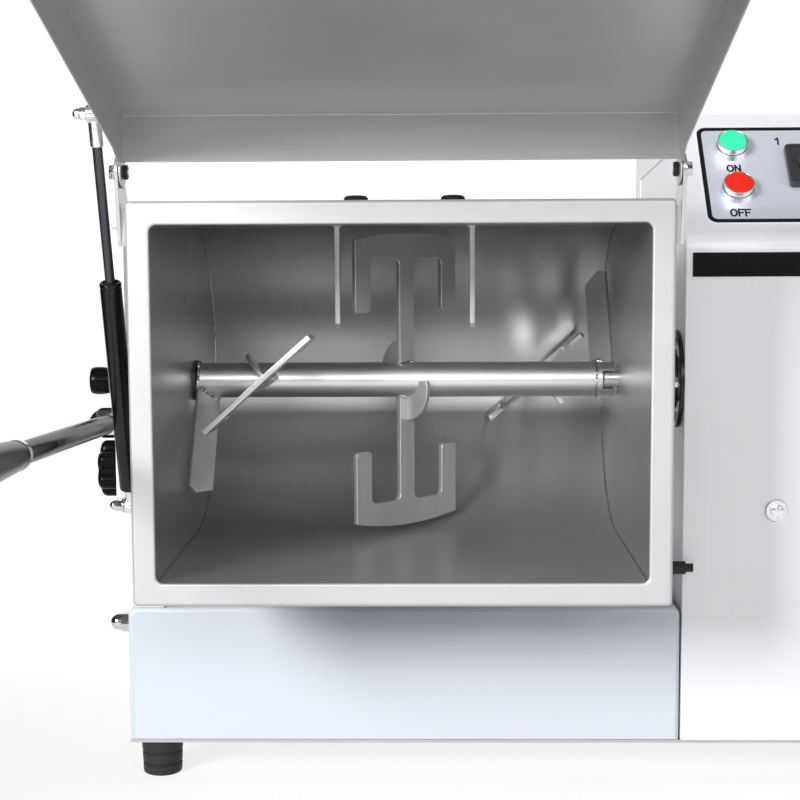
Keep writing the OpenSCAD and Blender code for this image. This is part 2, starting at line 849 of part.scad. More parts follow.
module clamp_knob() color(black) at_axis() translate([0, 0, -clamp_arc_r]) {
    rod_x(tilt_plate_out - clamp_washer_t, column_left + clamp_bite, clamp_r);
    washer_x = tilt_plate_out - side_gap / 2;
    rod_x(washer_x - clamp_washer_t, washer_x, clamp_washer_r);
    along_x(washer_x - clamp_washer_t - clamp_knob_t, clamp_knob_t) {
        circle(clamp_core_r);
        for (i = [0 : 5]) rotate(i * 60 + 30) translate([clamp_lobe_at, 0]) circle(clamp_lobe_r);
    }
}

// The control panel's own frame: X across, Y up the slope, Z out of the face
module on_panel() translate([0, front_y, bend_h]) rotate([90 - slope_angle, 0, 0]) children();

module button_cap() {
    translate([0, 0, panel_t + cap_lift]) cylinder(h = cap_h, r = cap_r);
    translate([0, 0, panel_t + cap_lift + cap_travel - bezel_neck])
        cylinder(h = bezel_neck - cap_travel, r = stem_r);
}

module start_cap() color([0.15, 0.68, 0.50]) at_axis() on_panel()
    translate([button_x, start_s, 0]) button_cap();

module stop_cap() color([0.80, 0.16, 0.14]) at_axis() on_panel()
    translate([button_x, stop_s, 0]) button_cap();

module selector_knob() color(black) at_axis() on_panel() translate([selector_x, selector_s, 0]) {
    face = panel_t + selector_t + side_gap;
    translate([0, 0, face]) cylinder(h = selector_hub_h, r = selector_hub_r);
    translate([0, 0, face + selector_hub_h + (selector_bar_h - selector_hub_h) / 2])
        cube([selector_bar_w, selector_bar_len, selector_bar_h - selector_hub_h], center = true);
    translate([0, 0, -bezel_neck + cap_travel])
        cylinder(h = face + bezel_neck - cap_travel, r = selector_pin_r);
}

module base_shell() color(blue_grey) at_axis() difference() {
    box([base_left, front_y + skin_t, base_bottom + plate_t], [house_left, rear_y, base_top]);
    box([base_left + skin_t, front_y - over, base_bottom],
        [house_left - skin_t, rear_y - skin_t, base_top - skin_t]);
}

module base_front_panel() color(blue_grey) at_axis() along_y(front_y, skin_t)
    translate([(base_left + house_left) / 2, (base_top + base_bottom) / 2])
        rounded(house_left - base_left, base_h, base_corner);

module foot_places() for (x = [base_left + foot_in_x, house_right - foot_in_x],
    y = [front_y + foot_in_y, rear_y - foot_in_y]) translate([x, y, base_bottom]) children();

module bench_places() for (sx = [-1, 1], sy = [-1, 1])
    translate([(base_left + house_right) / 2 + sx * bench_dx / 2,
        (front_y + rear_y) / 2 + sy * bench_dy / 2, base_bottom]) children();

module base_plate() color(steel) at_axis() difference() {
    box([base_left, front_y + skin_t, base_bottom], [house_right, rear_y, base_bottom + plate_t]);
    foot_places() translate([0, 0, -over]) cylinder(h = plate_t + 2 * over, r = foot_stud_r);
    bench_places() translate([0, 0, -over]) cylinder(h = plate_t + 2 * over, r = bench_hole_r);
}

module rubber_feet() color(black) at_axis() foot_places() {
    translate([0, 0, -foot_h]) cylinder(h = foot_h, r1 = foot_r * foot_taper_share, r2 = foot_r);
    cylinder(h = foot_stud_h, r = foot_stud_r);
}

module column_outline(t) {
    translate([0, column_top]) circle(column_half - t);
    translate([-column_half + t, base_top + t]) square([2 * (column_half - t), column_top - base_top - t]);
}

module left_column() color(lilac) at_axis() difference() {
    along_x(column_left, column_t) column_outline(0);
    along_x(column_left + skin_t, column_t - 2 * skin_t) column_outline(skin_t);
    rod_x(column_left - over, column_right + over, journal_l_r + bush_wall);
    translate([0, 0, -clamp_arc_r])
        rod_x(column_left - over, column_left + skin_t + over, clamp_r + run_gap);
}

module column_bush() color(black) at_axis() difference() {
    union() {
        rod_x(column_left - bush_flange_t, column_left, bush_flange_r);
        rod_x(column_left, column_right + over, journal_l_r + bush_wall);
    }
    rod_x(column_left - bush_flange_t - over, column_right + 2 * over, journal_l_r + run_gap);
}

module base_side_nuts() color(chrome) at_axis() for (y = [front_y + side_nut_in, rear_y - side_nut_in])
    translate([0, y, base_top - side_nut_down]) acorn(base_left, -1, side_nut_r);

module housing_outline(t) {
    polygon([[front_y + t, base_bottom + plate_t], [rear_y, base_bottom + plate_t], [rear_y, house_top - t],
        [slope_end_y + t * tan((90 - slope_angle) / 2), house_top - t],
        [front_y + t, bend_h - t * tan(slope_angle / 2)]]);
}

module bearing_places() for (i = [0 : 3]) rotate([i * 90, 0, 0]) translate([0, 0, bolt_ring_r]) children();

module housing_shell() color(lilac) at_axis() difference() {
    along_x(house_left, housing_w) housing_outline(0);
    along_x(house_left + skin_t, housing_w - 2 * skin_t) housing_outline(skin_t);
    box([house_left + skin_t, slope_end_y + skin_t, base_bottom],
        [house_right - skin_t, rear_y + over, house_top + over]);
    rod_x(house_left - over, house_left + skin_t + over, seal_r);
    bearing_places() rod_x(house_left - over, house_left + skin_t + over, bearing_nut_r / 2);
    translate([0, stop_y, stop_z]) rod_x(house_left - over, house_left + skin_t + over, stop_bolt_r);
    on_panel() for (s = [stop_s, start_s]) translate([button_x, s, -2 * skin_t])
        cylinder(h = 4 * skin_t, r = bezel_neck_r);
    on_panel() translate([selector_x, selector_s, -2 * skin_t]) cylinder(h = 4 * skin_t, r = bezel_neck_r);
    translate([front_bolt_x, front_y - over, front_bolt_z]) rotate([-90, 0, 0])
        cylinder(h = skin_t + 2 * over, r = stop_bolt_r);
}

module housing_cover() color(lilac) at_axis() difference() {
    union() {
        box([house_left - cover_t, slope_end_y, house_top],
            [house_right + cover_t, rear_y + cover_t, house_top + cover_t]);
        box([house_left - cover_t, rear_y, base_bottom + plate_t],
            [house_right + cover_t, rear_y + cover_t, house_top]);
        for (x0 = [house_left - cover_t, house_right]) along_x(x0, cover_t) polygon([
            [slope_end_y, house_top], [slope_end_y, house_top - cover_front_drop],
            [rear_y - cover_back, house_top - cover_rear_drop], [rear_y - cover_back, base_top + skin_t],
            [rear_y, base_top + skin_t], [rear_y, house_top]]);
    }
    translate([gland_x, rear_y - over, gland_z]) rotate([-90, 0, 0])
        cylinder(h = cover_t + 2 * over, r = gland_r - gland_bore_r / 2);
}

module housing_screws() color(chrome) at_axis() {
    for (x0 = [house_left - cover_t - screw_h, house_right + cover_t],
        y = [slope_end_y + cover_back, rear_y - cover_back / 2])
        translate([0, y, house_top - cover_front_drop / 2]) rod_x(x0, x0 + screw_h, screw_r);
    translate([front_bolt_x, front_y, front_bolt_z]) rotate([90, 0, 0]) {
        cylinder(h = washer_t, r = washer_r);
        translate([0, 0, washer_t]) cylinder(h = front_bolt_h, r = front_bolt_r, $fn = 6);
        mirror([0, 0, 1]) cylinder(h = skin_t + nut_h, r = stop_bolt_r);
    }
}

module control_panel_plate() color(bright) at_axis() on_panel() difference() {
    translate([panel_left + panel_w / 2, panel_from + panel_h / 2, 0]) linear_extrude(panel_t)
        rounded(panel_w, panel_h, panel_corner);
    for (s = [stop_s, start_s]) translate([button_x, s, -over])
        cylinder(h = panel_t + 2 * over, r = bezel_neck_r);
    translate([selector_x, selector_s, -over]) cylinder(h = panel_t + 2 * over, r = bezel_neck_r);
}

module label_plate() color(black) at_axis()
    box([label_x, front_y - label_t, label_z], [label_x + label_w, front_y, label_z + label_h]);

module button_bezels() color(chrome) at_axis() on_panel() for (s = [stop_s, start_s])
    translate([button_x, s, 0]) difference() {
        union() {
            translate([0, 0, panel_t]) cylinder(h = bezel_h, r = bezel_r);
            translate([0, 0, -bezel_neck + cap_travel])
                cylinder(h = bezel_neck - cap_travel + panel_t, r = bezel_neck_r);
        }
        translate([0, 0, panel_t + bezel_floor]) cylinder(h = bezel_h, r = bezel_in_r);
        translate([0, 0, -bezel_neck]) cylinder(h = 2 * bezel_neck, r = stem_r + run_gap);
    }

module selector_plate() color(black) at_axis() on_panel()
    translate([selector_x, selector_s, 0]) difference() {
    union() {
        translate([0, 0, panel_t]) linear_extrude(selector_t)
            rounded(selector_w, selector_w, selector_corner);
        translate([0, 0, -bezel_neck + cap_travel])
            cylinder(h = bezel_neck - cap_travel + panel_t, r = bezel_neck_r);
    }
    translate([0, 0, -bezel_neck]) cylinder(h = 3 * bezel_neck, r = selector_pin_r + run_gap);
}

module bearing_flange() color(steel) at_axis() {
    difference() {
        rod_x(house_left - bearing_flange_t, house_left, bearing_flange_r);
        rod_x(house_left - bearing_flange_t - over, house_left + over, seal_r);
        bearing_places() rod_x(house_left - bearing_flange_t - over, house_left + over, bearing_nut_r / 2);
    }
    bearing_places() {
        rod_x(house_left - bearing_flange_t - bearing_nut_h, house_left + skin_t + nut_h, bearing_nut_r / 2);
        translate([house_left - bearing_flange_t - bearing_nut_h, 0, 0]) rotate([0, 90, 0])
            cylinder(h = bearing_nut_h, r = bearing_nut_r, $fn = 6);
    }
}

module trunnion_bush() color(black) at_axis() difference() {
    rod_x(house_left - seal_out, case_x - case_wall, seal_r);
    rod_x(house_left - seal_out - over, case_x, journal_r_r + run_gap);
}

module tilt_stop() color(black) at_axis() translate([0, stop_y, stop_z]) {
    rod_x(house_left - stop_len, house_left, stop_r);
    rod_x(house_left, house_left + skin_t + nut_h, stop_bolt_r);
}

module case_outline(t) {
    circle(case_r - t);
    translate([centre_d, 0]) circle(case_pinion_r - t);
    translate([0, -case_pinion_r + t]) square([centre_d, 2 * (case_pinion_r - t)]);
}

module gear_case() color(cast) at_axis() difference() {
    union() {
        along_x(case_x, case_end - case_x) case_outline(0);
        rod_x(house_left + skin_t, case_x, case_tube_r);
    }
    along_x(case_x + case_wall, case_room) case_outline(case_skin);
    rod_x(house_left, case_x, case_tube_r - case_skin);
    rod_x(case_x - over, case_end + over, drive_r + run_gap);
    rod_x(case_x - over, case_x + case_wall + over, drive_bore_r);
    translate([0, centre_d, 0]) rod_x(case_x + case_room, case_end + over, pinion_shaft_r + run_gap);
}

module ball_bearing(x0) difference() {
    rod_x(x0, x0 + ball_t, ball_r);
    rod_x(x0 - over, x0 + ball_t + over, drive_r + run_gap);
}

module shaft_bearings() color(chrome) at_axis() {
    ball_bearing(case_x + case_wall);
    ball_bearing(case_end - case_wall - ball_t);
}

module motor_body() color(cast) at_axis() translate([0, centre_d, 0]) difference() {
    union() {
        rod_x(case_end, case_end + motor_len, motor_r - fin_h);
        for (i = [0 : motor_fins - 1]) rotate([i * 360 / motor_fins, 0, 0])
            box([case_end + case_wall, 0, 0], [case_end + motor_len - motor_cap_len, fin_t, motor_r]);
        rod_x(case_end + motor_len - motor_cap_len, case_end + motor_len, motor_r);
    }
    rod_x(case_end - over, case_end + motor_bore, pinion_shaft_r + run_gap);
}

module switch_blocks() color(black) at_axis() on_panel() {
    block_top = -bezel_neck - block_gap;
    for (p = [[button_x, stop_s], [button_x, start_s], [selector_x, selector_s]])
        translate([p[0], p[1], block_top - block_d / 2]) cube([block_w, block_w, block_d], center = true);
    for (p = [[button_x, stop_s], [button_x, start_s], [selector_x, selector_s]])
        translate([p[0], p[1], block_top]) difference() {
            cylinder(h = block_gap + cap_travel, r = bezel_neck_r);
            cylinder(h = block_gap + cap_travel + over, r = bezel_neck_r - skin_t);
        }
}

module contactors() color(black) at_axis() for (i = [-1, 1])
    translate([(house_left + house_right) / 2 + i * (contactor_w + contactor_gap) / 2,
        rear_y - contactor_d / 2, rail_z])
        cube([contactor_w, contactor_d, contactor_h], center = true);

module cable_gland() color(black) at_axis() translate([gland_x, rear_y, gland_z])
    rotate([-90, 0, 0]) difference() {
    union() {
        translate([0, 0, cover_t]) cylinder(h = gland_nut, r = gland_r, $fn = 6);
        translate([0, 0, cover_t]) cylinder(h = gland_len, r = gland_r * gland_tube_share);
        cylinder(h = cover_t, r = gland_r - gland_bore_r / 2);
        translate([0, 0, -gland_nut]) cylinder(h = gland_nut, r = gland_r, $fn = 6);
    }
    translate([0, 0, -gland_len]) cylinder(h = 3 * gland_len, r = gland_bore_r);
}

drum_trough();
left_end_wall();
right_end_wall();
stop_lug();
drum_rim();
comb_bars();
rear_bumpers();
hinge_ears();
hinge_bolts();
left_trunnion();
right_trunnion();
left_shaft_bush();
tilt_plate();
tilt_lever();
lever_grip();
gas_lower_mount();
lid_shell();
lid_gas_stud();
gas_cylinder();
gas_cylinder_end();
gas_rod();
gas_rod_end();
agitator_shaft();
centre_paddles();
side_paddles();
end_scrapers();
paddle_gussets();
drive_shaft();
drive_gear();
motor_pinion();
shaft_pin();
pin_knob();
clamp_knob();
start_cap();
stop_cap();
selector_knob();
base_shell();
base_front_panel();
base_plate();
rubber_feet();
left_column();
column_bush();
base_side_nuts();
housing_shell();
housing_cover();
housing_screws();
control_panel_plate();
label_plate();
button_bezels();
selector_plate();
bearing_flange();
trunnion_bush();
tilt_stop();
gear_case();
shaft_bearings();
motor_body();
switch_blocks();
contactors();
cable_gland();
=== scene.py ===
import math
import random

import bmesh
import bpy
from mathutils import Matrix, Vector


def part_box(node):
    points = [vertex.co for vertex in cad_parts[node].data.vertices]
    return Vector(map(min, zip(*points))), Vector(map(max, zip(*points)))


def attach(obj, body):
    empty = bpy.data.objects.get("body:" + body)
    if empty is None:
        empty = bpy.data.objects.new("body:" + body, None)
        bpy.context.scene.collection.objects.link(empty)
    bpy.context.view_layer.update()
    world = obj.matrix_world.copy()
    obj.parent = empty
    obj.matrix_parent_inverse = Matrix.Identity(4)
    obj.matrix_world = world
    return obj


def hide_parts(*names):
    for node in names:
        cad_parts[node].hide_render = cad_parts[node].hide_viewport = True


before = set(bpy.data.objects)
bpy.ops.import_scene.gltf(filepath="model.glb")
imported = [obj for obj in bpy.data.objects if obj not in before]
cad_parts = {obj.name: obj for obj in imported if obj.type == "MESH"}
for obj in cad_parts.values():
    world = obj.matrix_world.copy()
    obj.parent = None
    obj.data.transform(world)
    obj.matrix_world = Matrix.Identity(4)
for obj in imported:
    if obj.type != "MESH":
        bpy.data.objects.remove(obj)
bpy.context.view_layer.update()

# The camera stands in front of the tipped mouth at about chest height, a little to the right
# of the drum's middle, and looks slightly down. It was fitted to the rim and the end walls.
lens = bpy.data.cameras.new("portrait_lens")
lens.sensor_width = 36.0
lens.lens = 72.77
lens.shift_y = -1 / 800
camera = bpy.data.objects.new("camera", lens)
camera_place = (-0.05585, -1.41271, 0.510)
aim = Matrix.Identity(4)
for degrees, axis in ((1.14, "Z"), (-5.74, "X"), (0.31, "Y"), (90, "X")):
    aim = aim @ Matrix.Rotation(math.radians(degrees), 4, axis)
camera.matrix_world = Matrix.Translation(camera_place) @ aim
bpy.context.scene.collection.objects.link(camera)
bpy.context.scene.camera = camera
bpy.context.scene.view_settings.view_transform = "Standard"


# The studio is a pale paper that sweeps up behind the machine and glows where the camera or the
# metal sees it. The main soft box stands in front on the left, with weak ones in front, on the
# right and overhead. A black card on the left darkens the metal's sides under a dim sky.
def angles(first, last, step):
    """Angles in radians, given in whole degrees, with both ends."""
    return [math.radians(degree) for degree in range(first, last + 1, step)]


def link_mesh(name, points, faces):
    mesh = bpy.data.meshes.new(name)
    mesh.from_pydata([tuple(point) for point in points], [], faces)
    mesh.validate()
    piece = bpy.data.objects.new(name, mesh)
    bpy.context.scene.collection.objects.link(piece)
    return piece


def new_finish(name):
    finish = bpy.data.materials.new(name)
    finish.use_nodes = True
    tree = finish.node_tree
    return finish, tree, tree.nodes["Principled BSDF"]


def add_node(tree, kind, **values):
    """A node with the values of its inputs, where an underscore stands for a space."""
    made = tree.nodes.new(kind)
    for key, value in values.items():
        made.inputs[key.replace("_", " ")].default_value = value
    return made


def add_ramp(tree, source, stops):
    """The colours of a ramp that source drives; stops are (position, colour) in rising order."""
    made = tree.nodes.new("ShaderNodeValToRGB")
    tree.links.new(source, made.inputs["Fac"])
    for element, (position, colour) in zip(made.color_ramp.elements, (stops[0], stops[-1])):
        element.position = position
        element.color = (*colour, 1)
    for position, colour in stops[1:-1]:
        made.color_ramp.elements.new(position).color = (*colour, 1)
    return made.outputs["Color"]


def seen_as_background(tree):
    """One for rays from the camera and for mirrored or transmitted ones, and nothing for the rest."""
    rays = tree.nodes.new("ShaderNodeLightPath")
    total = rays.outputs["Is Camera Ray"]
    for kind in ("Is Glossy Ray", "Is Transmission Ray"):
        larger = tree.nodes.new("ShaderNodeMath")
        larger.operation = "MAXIMUM"
        tree.links.new(total, larger.inputs[0])
        tree.links.new(rays.outputs[kind], larger.inputs[1])
        total = larger.outputs[0]
    return total


paper_front, paper_back, paper_top, paper_side, paper_curve = -9.0, 5.5, 5.0, 9.0, 0.8
sweep = [(paper_front, 0.0), (paper_back - paper_curve, 0.0)]
sweep += [(paper_back - paper_curve + paper_curve * math.sin(a), paper_curve - paper_curve * math.cos(a))
          for a in angles(10, 90, 10)]
sweep += [(paper_back, paper_top)]
sweep_points = [(x, y, z) for x in (-paper_side, paper_side) for y, z in sweep]
sweep_faces = [(i, i + 1, i + 1 + len(sweep), i + len(sweep)) for i in range(len(sweep) - 1)]
backdrop = link_mesh("backdrop", sweep_points, sweep_faces)
backdrop.data.polygons.foreach_set("use_smooth", [True] * len(backdrop.data.polygons))
paper, tree, shader = new_finish("white_paper")
shader.inputs["Base Color"].default_value = (0.26, 0.26, 0.26, 1)
shader.inputs["Roughness"].default_value = 0.9
shader.inputs["Emission Color"].default_value = (1, 1, 1, 1)
axes = tree.nodes.new("ShaderNodeSeparateXYZ")
tree.links.new(tree.nodes.new("ShaderNodeTexCoord").outputs["Object"], axes.inputs["Vector"])
depth = add_node(tree, "ShaderNodeMapRange", From_Min=-5.0, From_Max=1.0)
tree.links.new(axes.outputs["Y"], depth.inputs["Value"])
# The glow fades out far in front, where upright metal would mirror it.
glow_stops = ((0.10, 0.06), (0.45, 1.0), (0.68, 1.0), (0.75, 0.70), (0.85, 0.72), (0.93, 0.95))
glow = tree.nodes.new("ShaderNodeMath")
glow.operation = "MULTIPLY"
tree.links.new(seen_as_background(tree), glow.inputs[0])
tree.links.new(add_ramp(tree, depth.outputs["Result"], [(at, (level,) * 3) for at, level in glow_stops]),
               glow.inputs[1])
tree.links.new(glow.outputs[0], shader.inputs["Emission Strength"])
backdrop.data.materials.append(paper)

sky = bpy.data.worlds.new("studio_sky")
bpy.context.scene.world = sky
sky.use_nodes = True
sky_tree = sky.node_tree
height = sky_tree.nodes.new("ShaderNodeSeparateXYZ")
sky_tree.links.new(sky_tree.nodes.new("ShaderNodeTexCoord").outputs["Generated"], height.inputs["Vector"])
dusk = add_ramp(sky_tree, height.outputs["Z"],
                [(0.12, (0.17, 0.17, 0.18)), (0.42, (0.85, 0.85, 0.85)), (0.85, (0.16, 0.16, 0.16))])
sky_tree.links.new(dusk, sky_tree.nodes["Background"].inputs["Color"])
sky_tree.nodes["Background"].inputs["Strength"].default_value = 0.42


def soft_box(name, place, target, width, height, power):
    """A rectangular lamp turned to its target, in metres and watts."""
    light = bpy.data.lights.new(name, "AREA")
    light.shape = "RECTANGLE"
    light.size = width
    light.size_y = height
    light.energy = power
    lamp = bpy.data.objects.new(name, light)
    lamp.location = place
    lamp.rotation_euler = (Vector(target) - Vector(place)).to_track_quat("-Z", "Y").to_euler()
    bpy.context.scene.collection.objects.link(lamp)


soft_box("soft_box_front", (0.25, -3.0, 1.5), (0.0, 0.0, 0.4), 2.4, 0.7, 29)
soft_box("soft_box_left", (-2.7, -3.5, 1.95), (0.1, 0.0, 0.35), 1.4, 1.4, 242)
soft_box("soft_box_right", (2.2, -1.6, 1.1), (0.1, 0.0, 0.35), 0.9, 0.9, 12)
soft_box("soft_box_top", (0.0, -0.6, 2.6), (0.0, 0.2, 0.3), 1.6, 1.0, 3)
card_x, card_half, card_top = -1.15, 0.8, 1.1
card_corners = ((-card_half, 0), (card_half, 0), (card_half, card_top), (-card_half, card_top))
card = link_mesh("black_card", [(card_x, y, z) for y, z in card_corners], [(0, 1, 2, 3)])
card_black, tree, shader = new_finish("card_black")
shader.inputs["Base Color"].default_value = (0.02, 0.02, 0.02, 1)
shader.inputs["Roughness"].default_value = 0.8
card.data.materials.append(card_black)
card.visible_camera = False


# The base is a box of folded sheet with a smooth pale finish. Its front panel has round corners,
# and folds back at every edge into the top and the sides.
def noise(tree, scale, detail, roughness=0.5, grain=None):
    """A noise in the object's own metres, squeezed by grain along each axis where it is given."""
    where = tree.nodes.new("ShaderNodeTexCoord").outputs["Object"]
    if grain:
        stretch = add_node(tree, "ShaderNodeMapping", Scale=grain)
        tree.links.new(where, stretch.inputs["Vector"])
        where = stretch.outputs["Vector"]
    made = add_node(tree, "ShaderNodeTexNoise", Scale=scale, Detail=detail, Roughness=roughness)
    tree.links.new(where, made.inputs["Vector"])
    return made.outputs["Fac"]


noise_low, noise_high = 0.3, 0.7


def spread(tree, source, low, high):
    """A noise brought from its usual range to the range from low to high."""
    made = add_node(tree, "ShaderNodeMapRange", From_Min=noise_low, From_Max=noise_high,
                    To_Min=low, To_Max=high)
    tree.links.new(source, made.inputs["Value"])
    return made.outputs["Result"]


def shade(tree, shader, source, colour, dark, light):
    """Lets a noise carry the base colour between dark and light times its value."""
    stops = [(position, [min(1.0, factor * part) for part in colour])
             for position, factor in ((noise_low, dark), (noise_high, light))]
    tree.links.new(add_ramp(tree, source, stops), shader.inputs["Base Color"])


def emboss(tree, shader, source, strength, distance):
    bump = add_node(tree, "ShaderNodeBump", Strength=strength, Distance=distance)
    tree.links.new(source, bump.inputs["Height"])
    tree.links.new(bump.outputs["Normal"], shader.inputs["Normal"])


def sheet_steel(name, colour, roughness, grain, cloud=0.04, streak=0.02, tint=0.02, relief=0.05, metal=1.0):
    """Sheet with fine lines along its grain and soft clouds in its gloss."""
    finish, tree, shader = new_finish(name)
    shader.inputs["Metallic"].default_value = metal
    lines = noise(tree, 1.0, 5.0, 0.65, grain)
    clouds = noise(tree, 7.0, 4.0, 0.55)
    total = tree.nodes.new("ShaderNodeMath")
    tree.links.new(spread(tree, lines, -streak, streak), total.inputs[0])
    tree.links.new(spread(tree, clouds, roughness - cloud, roughness + cloud), total.inputs[1])
    tree.links.new(total.outputs[0], shader.inputs["Roughness"])
    shade(tree, shader, lines, colour, 1 - tint, 1 + tint)
    emboss(tree, shader, lines, relief, 0.0002)
    return finish


def smooth_over(piece, crease=40):
    """Smooth shading that stops at edges sharper than crease degrees."""
    mesh = piece.data
    mesh.polygons.foreach_set("use_smooth", [True] * len(mesh.polygons))
    mesh.set_sharp_from_angle(angle=math.radians(crease))
    even = piece.modifiers.new("even_shading", "WEIGHTED_NORMAL")
    even.keep_sharp = True


def add_piece(piece, finish, body, slot, *nodes):
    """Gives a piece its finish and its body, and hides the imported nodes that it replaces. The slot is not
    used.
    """
    piece.data.materials.clear()
    piece.data.materials.append(finish)
    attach(piece, body)
    if nodes:
        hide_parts(*nodes)


def band_faces(rows, count, closed=False):
    """The faces between rows of count points each; closed joins the last row to the first."""
    faces = []
    for k in range(rows if closed else rows - 1):
        row, after = k * count, (k + 1) % rows * count
        faces += [(row + i, row + (i + 1) % count, after + (i + 1) % count, after + i) for i in range(count)]
    return faces


def closed_mesh(name, points, faces, crease=40, merge=False):
    """A closed shape with its faces turned outward; merge welds points that fall together."""
    piece = link_mesh(name, points, faces)
    shape = bmesh.new()
    shape.from_mesh(piece.data)
    if merge:
        bmesh.ops.remove_doubles(shape, verts=shape.verts[:], dist=1e-7)
    bmesh.ops.recalc_face_normals(shape, faces=shape.faces[:])
    shape.to_mesh(piece.data)
    shape.free()
    smooth_over(piece, crease)
    return piece


def skin_loops(name, loops):
    """A closed skin through loops of places that run from its back to its front."""
    count = len(loops[0])
    points = [point for loop in loops for point in loop]
    faces = band_faces(len(loops), count)
    faces += [tuple(range(count)), tuple(range(len(points) - 1, len(points) - count - 1, -1))]
    return closed_mesh(name, points, faces, crease=35)


base_steel = sheet_steel("base_sheet", (0.65, 0.69, 0.75), 0.34, (5, 160, 160), cloud=0.02, streak=0.01,
                         tint=0.006, relief=0.006, metal=0.04)
base_low, base_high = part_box("base_shell")
base_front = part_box("base_front_panel")[0].y
edge_fold, base_corner, housing_gap = 0.0045, 0.008, 0.0015
quarter = angles(0, 90, 15)


def base_loop(inset, y):
    """The base's outline at one depth, with square corners below and round ones above."""
    left, right = base_low.x + inset, base_high.x - housing_gap - inset
    top, low = base_high.z - inset, base_low.z + inset / 3
    bend = base_corner - inset / 2
    loop = [(right, y, low), (left, y, low)]
    loop += [(left + bend * (1 - math.cos(a)), y, top - bend * (1 - math.sin(a))) for a in quarter]
    loop += [(right - bend * (1 - math.sin(a)), y, top - bend * (1 - math.cos(a))) for a in quarter]
    return loop


base_loops = [base_loop(0.0, base_high.y)]
base_loops += [base_loop(edge_fold * (1 - math.cos(a)), base_front + edge_fold * (1 - math.sin(a)))
               for a in quarter]
add_piece(skin_loops("base_skin", base_loops), base_steel, "frame", "base_steel",
          "base_shell", "base_front_panel")


# A thick flat steel plate closes the base and the housing from below, drilled for the feet
# and for the four bench bolts. Its sawn edge is left plain.
def dress(finish, *names):
    """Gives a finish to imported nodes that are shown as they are."""
    for name in names:
        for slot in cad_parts[name].material_slots:
            slot.material = finish


plate_steel = sheet_steel("plate_steel", (0.55, 0.55, 0.56), 0.45, (9, 180, 180), tint=0.04)
dress(plate_steel, "base_plate")


# Four black rubber feet are moulded round a steel stud. Each has a wide shoulder, two grooves
# and a soft lower edge.
def turned(name, profile, origin, along, around=48, scallop=None):
    """A piece turned about one line; profile holds (radius, distance along it) in millimetres."""
    turn = Vector((0, 0, 1)).rotation_difference(Vector(along)).to_matrix()
    points = []
    for radius, reach in profile:
        for k in range(around):
            angle = 2 * math.pi * k / around
            size = radius * (scallop(angle, reach) if scallop else 1) / 1000
            local = Vector((size * math.cos(angle), size * math.sin(angle), reach / 1000))
            points.append(Vector(origin) + turn @ local)
    return closed_mesh(name, points, band_faces(len(profile), around), merge=True)


def joined(name, pieces):
    """Several made pieces as one object, each still its own closed shape."""
    points, faces = [], []
    for piece in pieces:
        start = len(points)
        points += [vertex.co.copy() for vertex in piece.data.vertices]
        faces += [tuple(start + i for i in face.vertices) for face in piece.data.polygons]
        bpy.data.objects.remove(piece)
    whole = link_mesh(name, points, faces)
    smooth_over(whole)
    return whole


def moulding(name, colour, roughness, speckle=0.06, relief=0.12, shine=0.5):
    """Rubber, polymer, paint or ink with a fine moulded grain."""
    finish, tree, shader = new_finish(name)
    shader.inputs["Specular IOR Level"].default_value = shine
    grain = noise(tree, 900.0, 3.0)
    shade(tree, shader, grain, colour, 0.94, 1.06)
    tree.links.new(spread(tree, grain, roughness - speckle, roughness + speckle), shader.inputs["Roughness"])
    emboss(tree, shader, grain, relief, 0.0001)
    return finish


upward = (0, 0, 1)
rubber = moulding("black_rubber", (0.018, 0.018, 0.019), 0.60, shine=0.35)
foot_low, foot_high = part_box("rubber_feet")
foot_half = 0.02
foot_profile = [(0, 0), (17.0, 0), (18.0, 0.8), (18.4, 2.5), (18.7, 9.0), (17.6, 9.8), (17.6, 11.2),
                (18.8, 12.0), (19.1, 20.0), (18.0, 20.8), (18.0, 22.2), (19.3, 23.0), (19.8, 31.0),
                (20.0, 33.5), (19.4, 35.0), (4, 35.0), (4, 43.0), (0, 43.0)]
feet = [turned(f"foot_{i}_{j}", foot_profile, (x, y, foot_low.z), upward)
        for i, x in enumerate((foot_low.x + foot_half, foot_high.x - foot_half))
        for j, y in enumerate((foot_low.y + foot_half, foot_high.y - foot_half))]
add_piece(joined("moulded_feet", feet), rubber, "frame", "rubber", "rubber_feet")


# Two domed nuts on the base's left side hold the column's foot. They are pressed steel with a
# bright nickel plate, and have a turned collar under the dome.
def plated_metal(name, colour, roughness):
    finish, tree, shader = new_finish(name)
    shader.inputs["Metallic"].default_value = 1.0
    marks = noise(tree, 90.0, 4.0)
    shade(tree, shader, marks, colour, 0.96, 1.03)
    tree.links.new(spread(tree, marks, roughness * 0.7, roughness * 1.3), shader.inputs["Roughness"])
    return finish


def off_sixth(angle):
    """How far an angle lies from the nearest of six even directions."""
    return (angle + math.pi / 6) % (math.pi / 3) - math.pi / 6


def hex_block(name, origin, along, radius, height):
    """A hexagon head or nut with its corners turned off at both ends."""
    chamfer, face = 0.1 * radius, 0.84 * radius

    def corner(angle, reach):
        return 1 if reach in (0, height) else math.cos(math.pi / 6) / math.cos(off_sixth(angle))
    profile = [(0, 0), (face, 0), (radius, chamfer), (radius, height - chamfer), (face, height), (0, height)]
    return turned(name, profile, origin, along, scallop=corner)


def domed_nut(name, origin, along, radius):
    """A hexagon as high as its radius, with a turned neck and a dome on it."""
    block = hex_block(name + "_block", origin, along, radius, radius)
    neck = 0.8 * radius
    dome = [(0, 0.9 * radius), (neck, 0.9 * radius), (neck, 1.33 * radius)]
    dome += [(neck * math.cos(a), radius * (1.35 + 0.78 * math.sin(a))) for a in angles(10, 90, 10)]
    return joined(name, [block, turned(name + "_dome", dome, origin, along, around=32)])


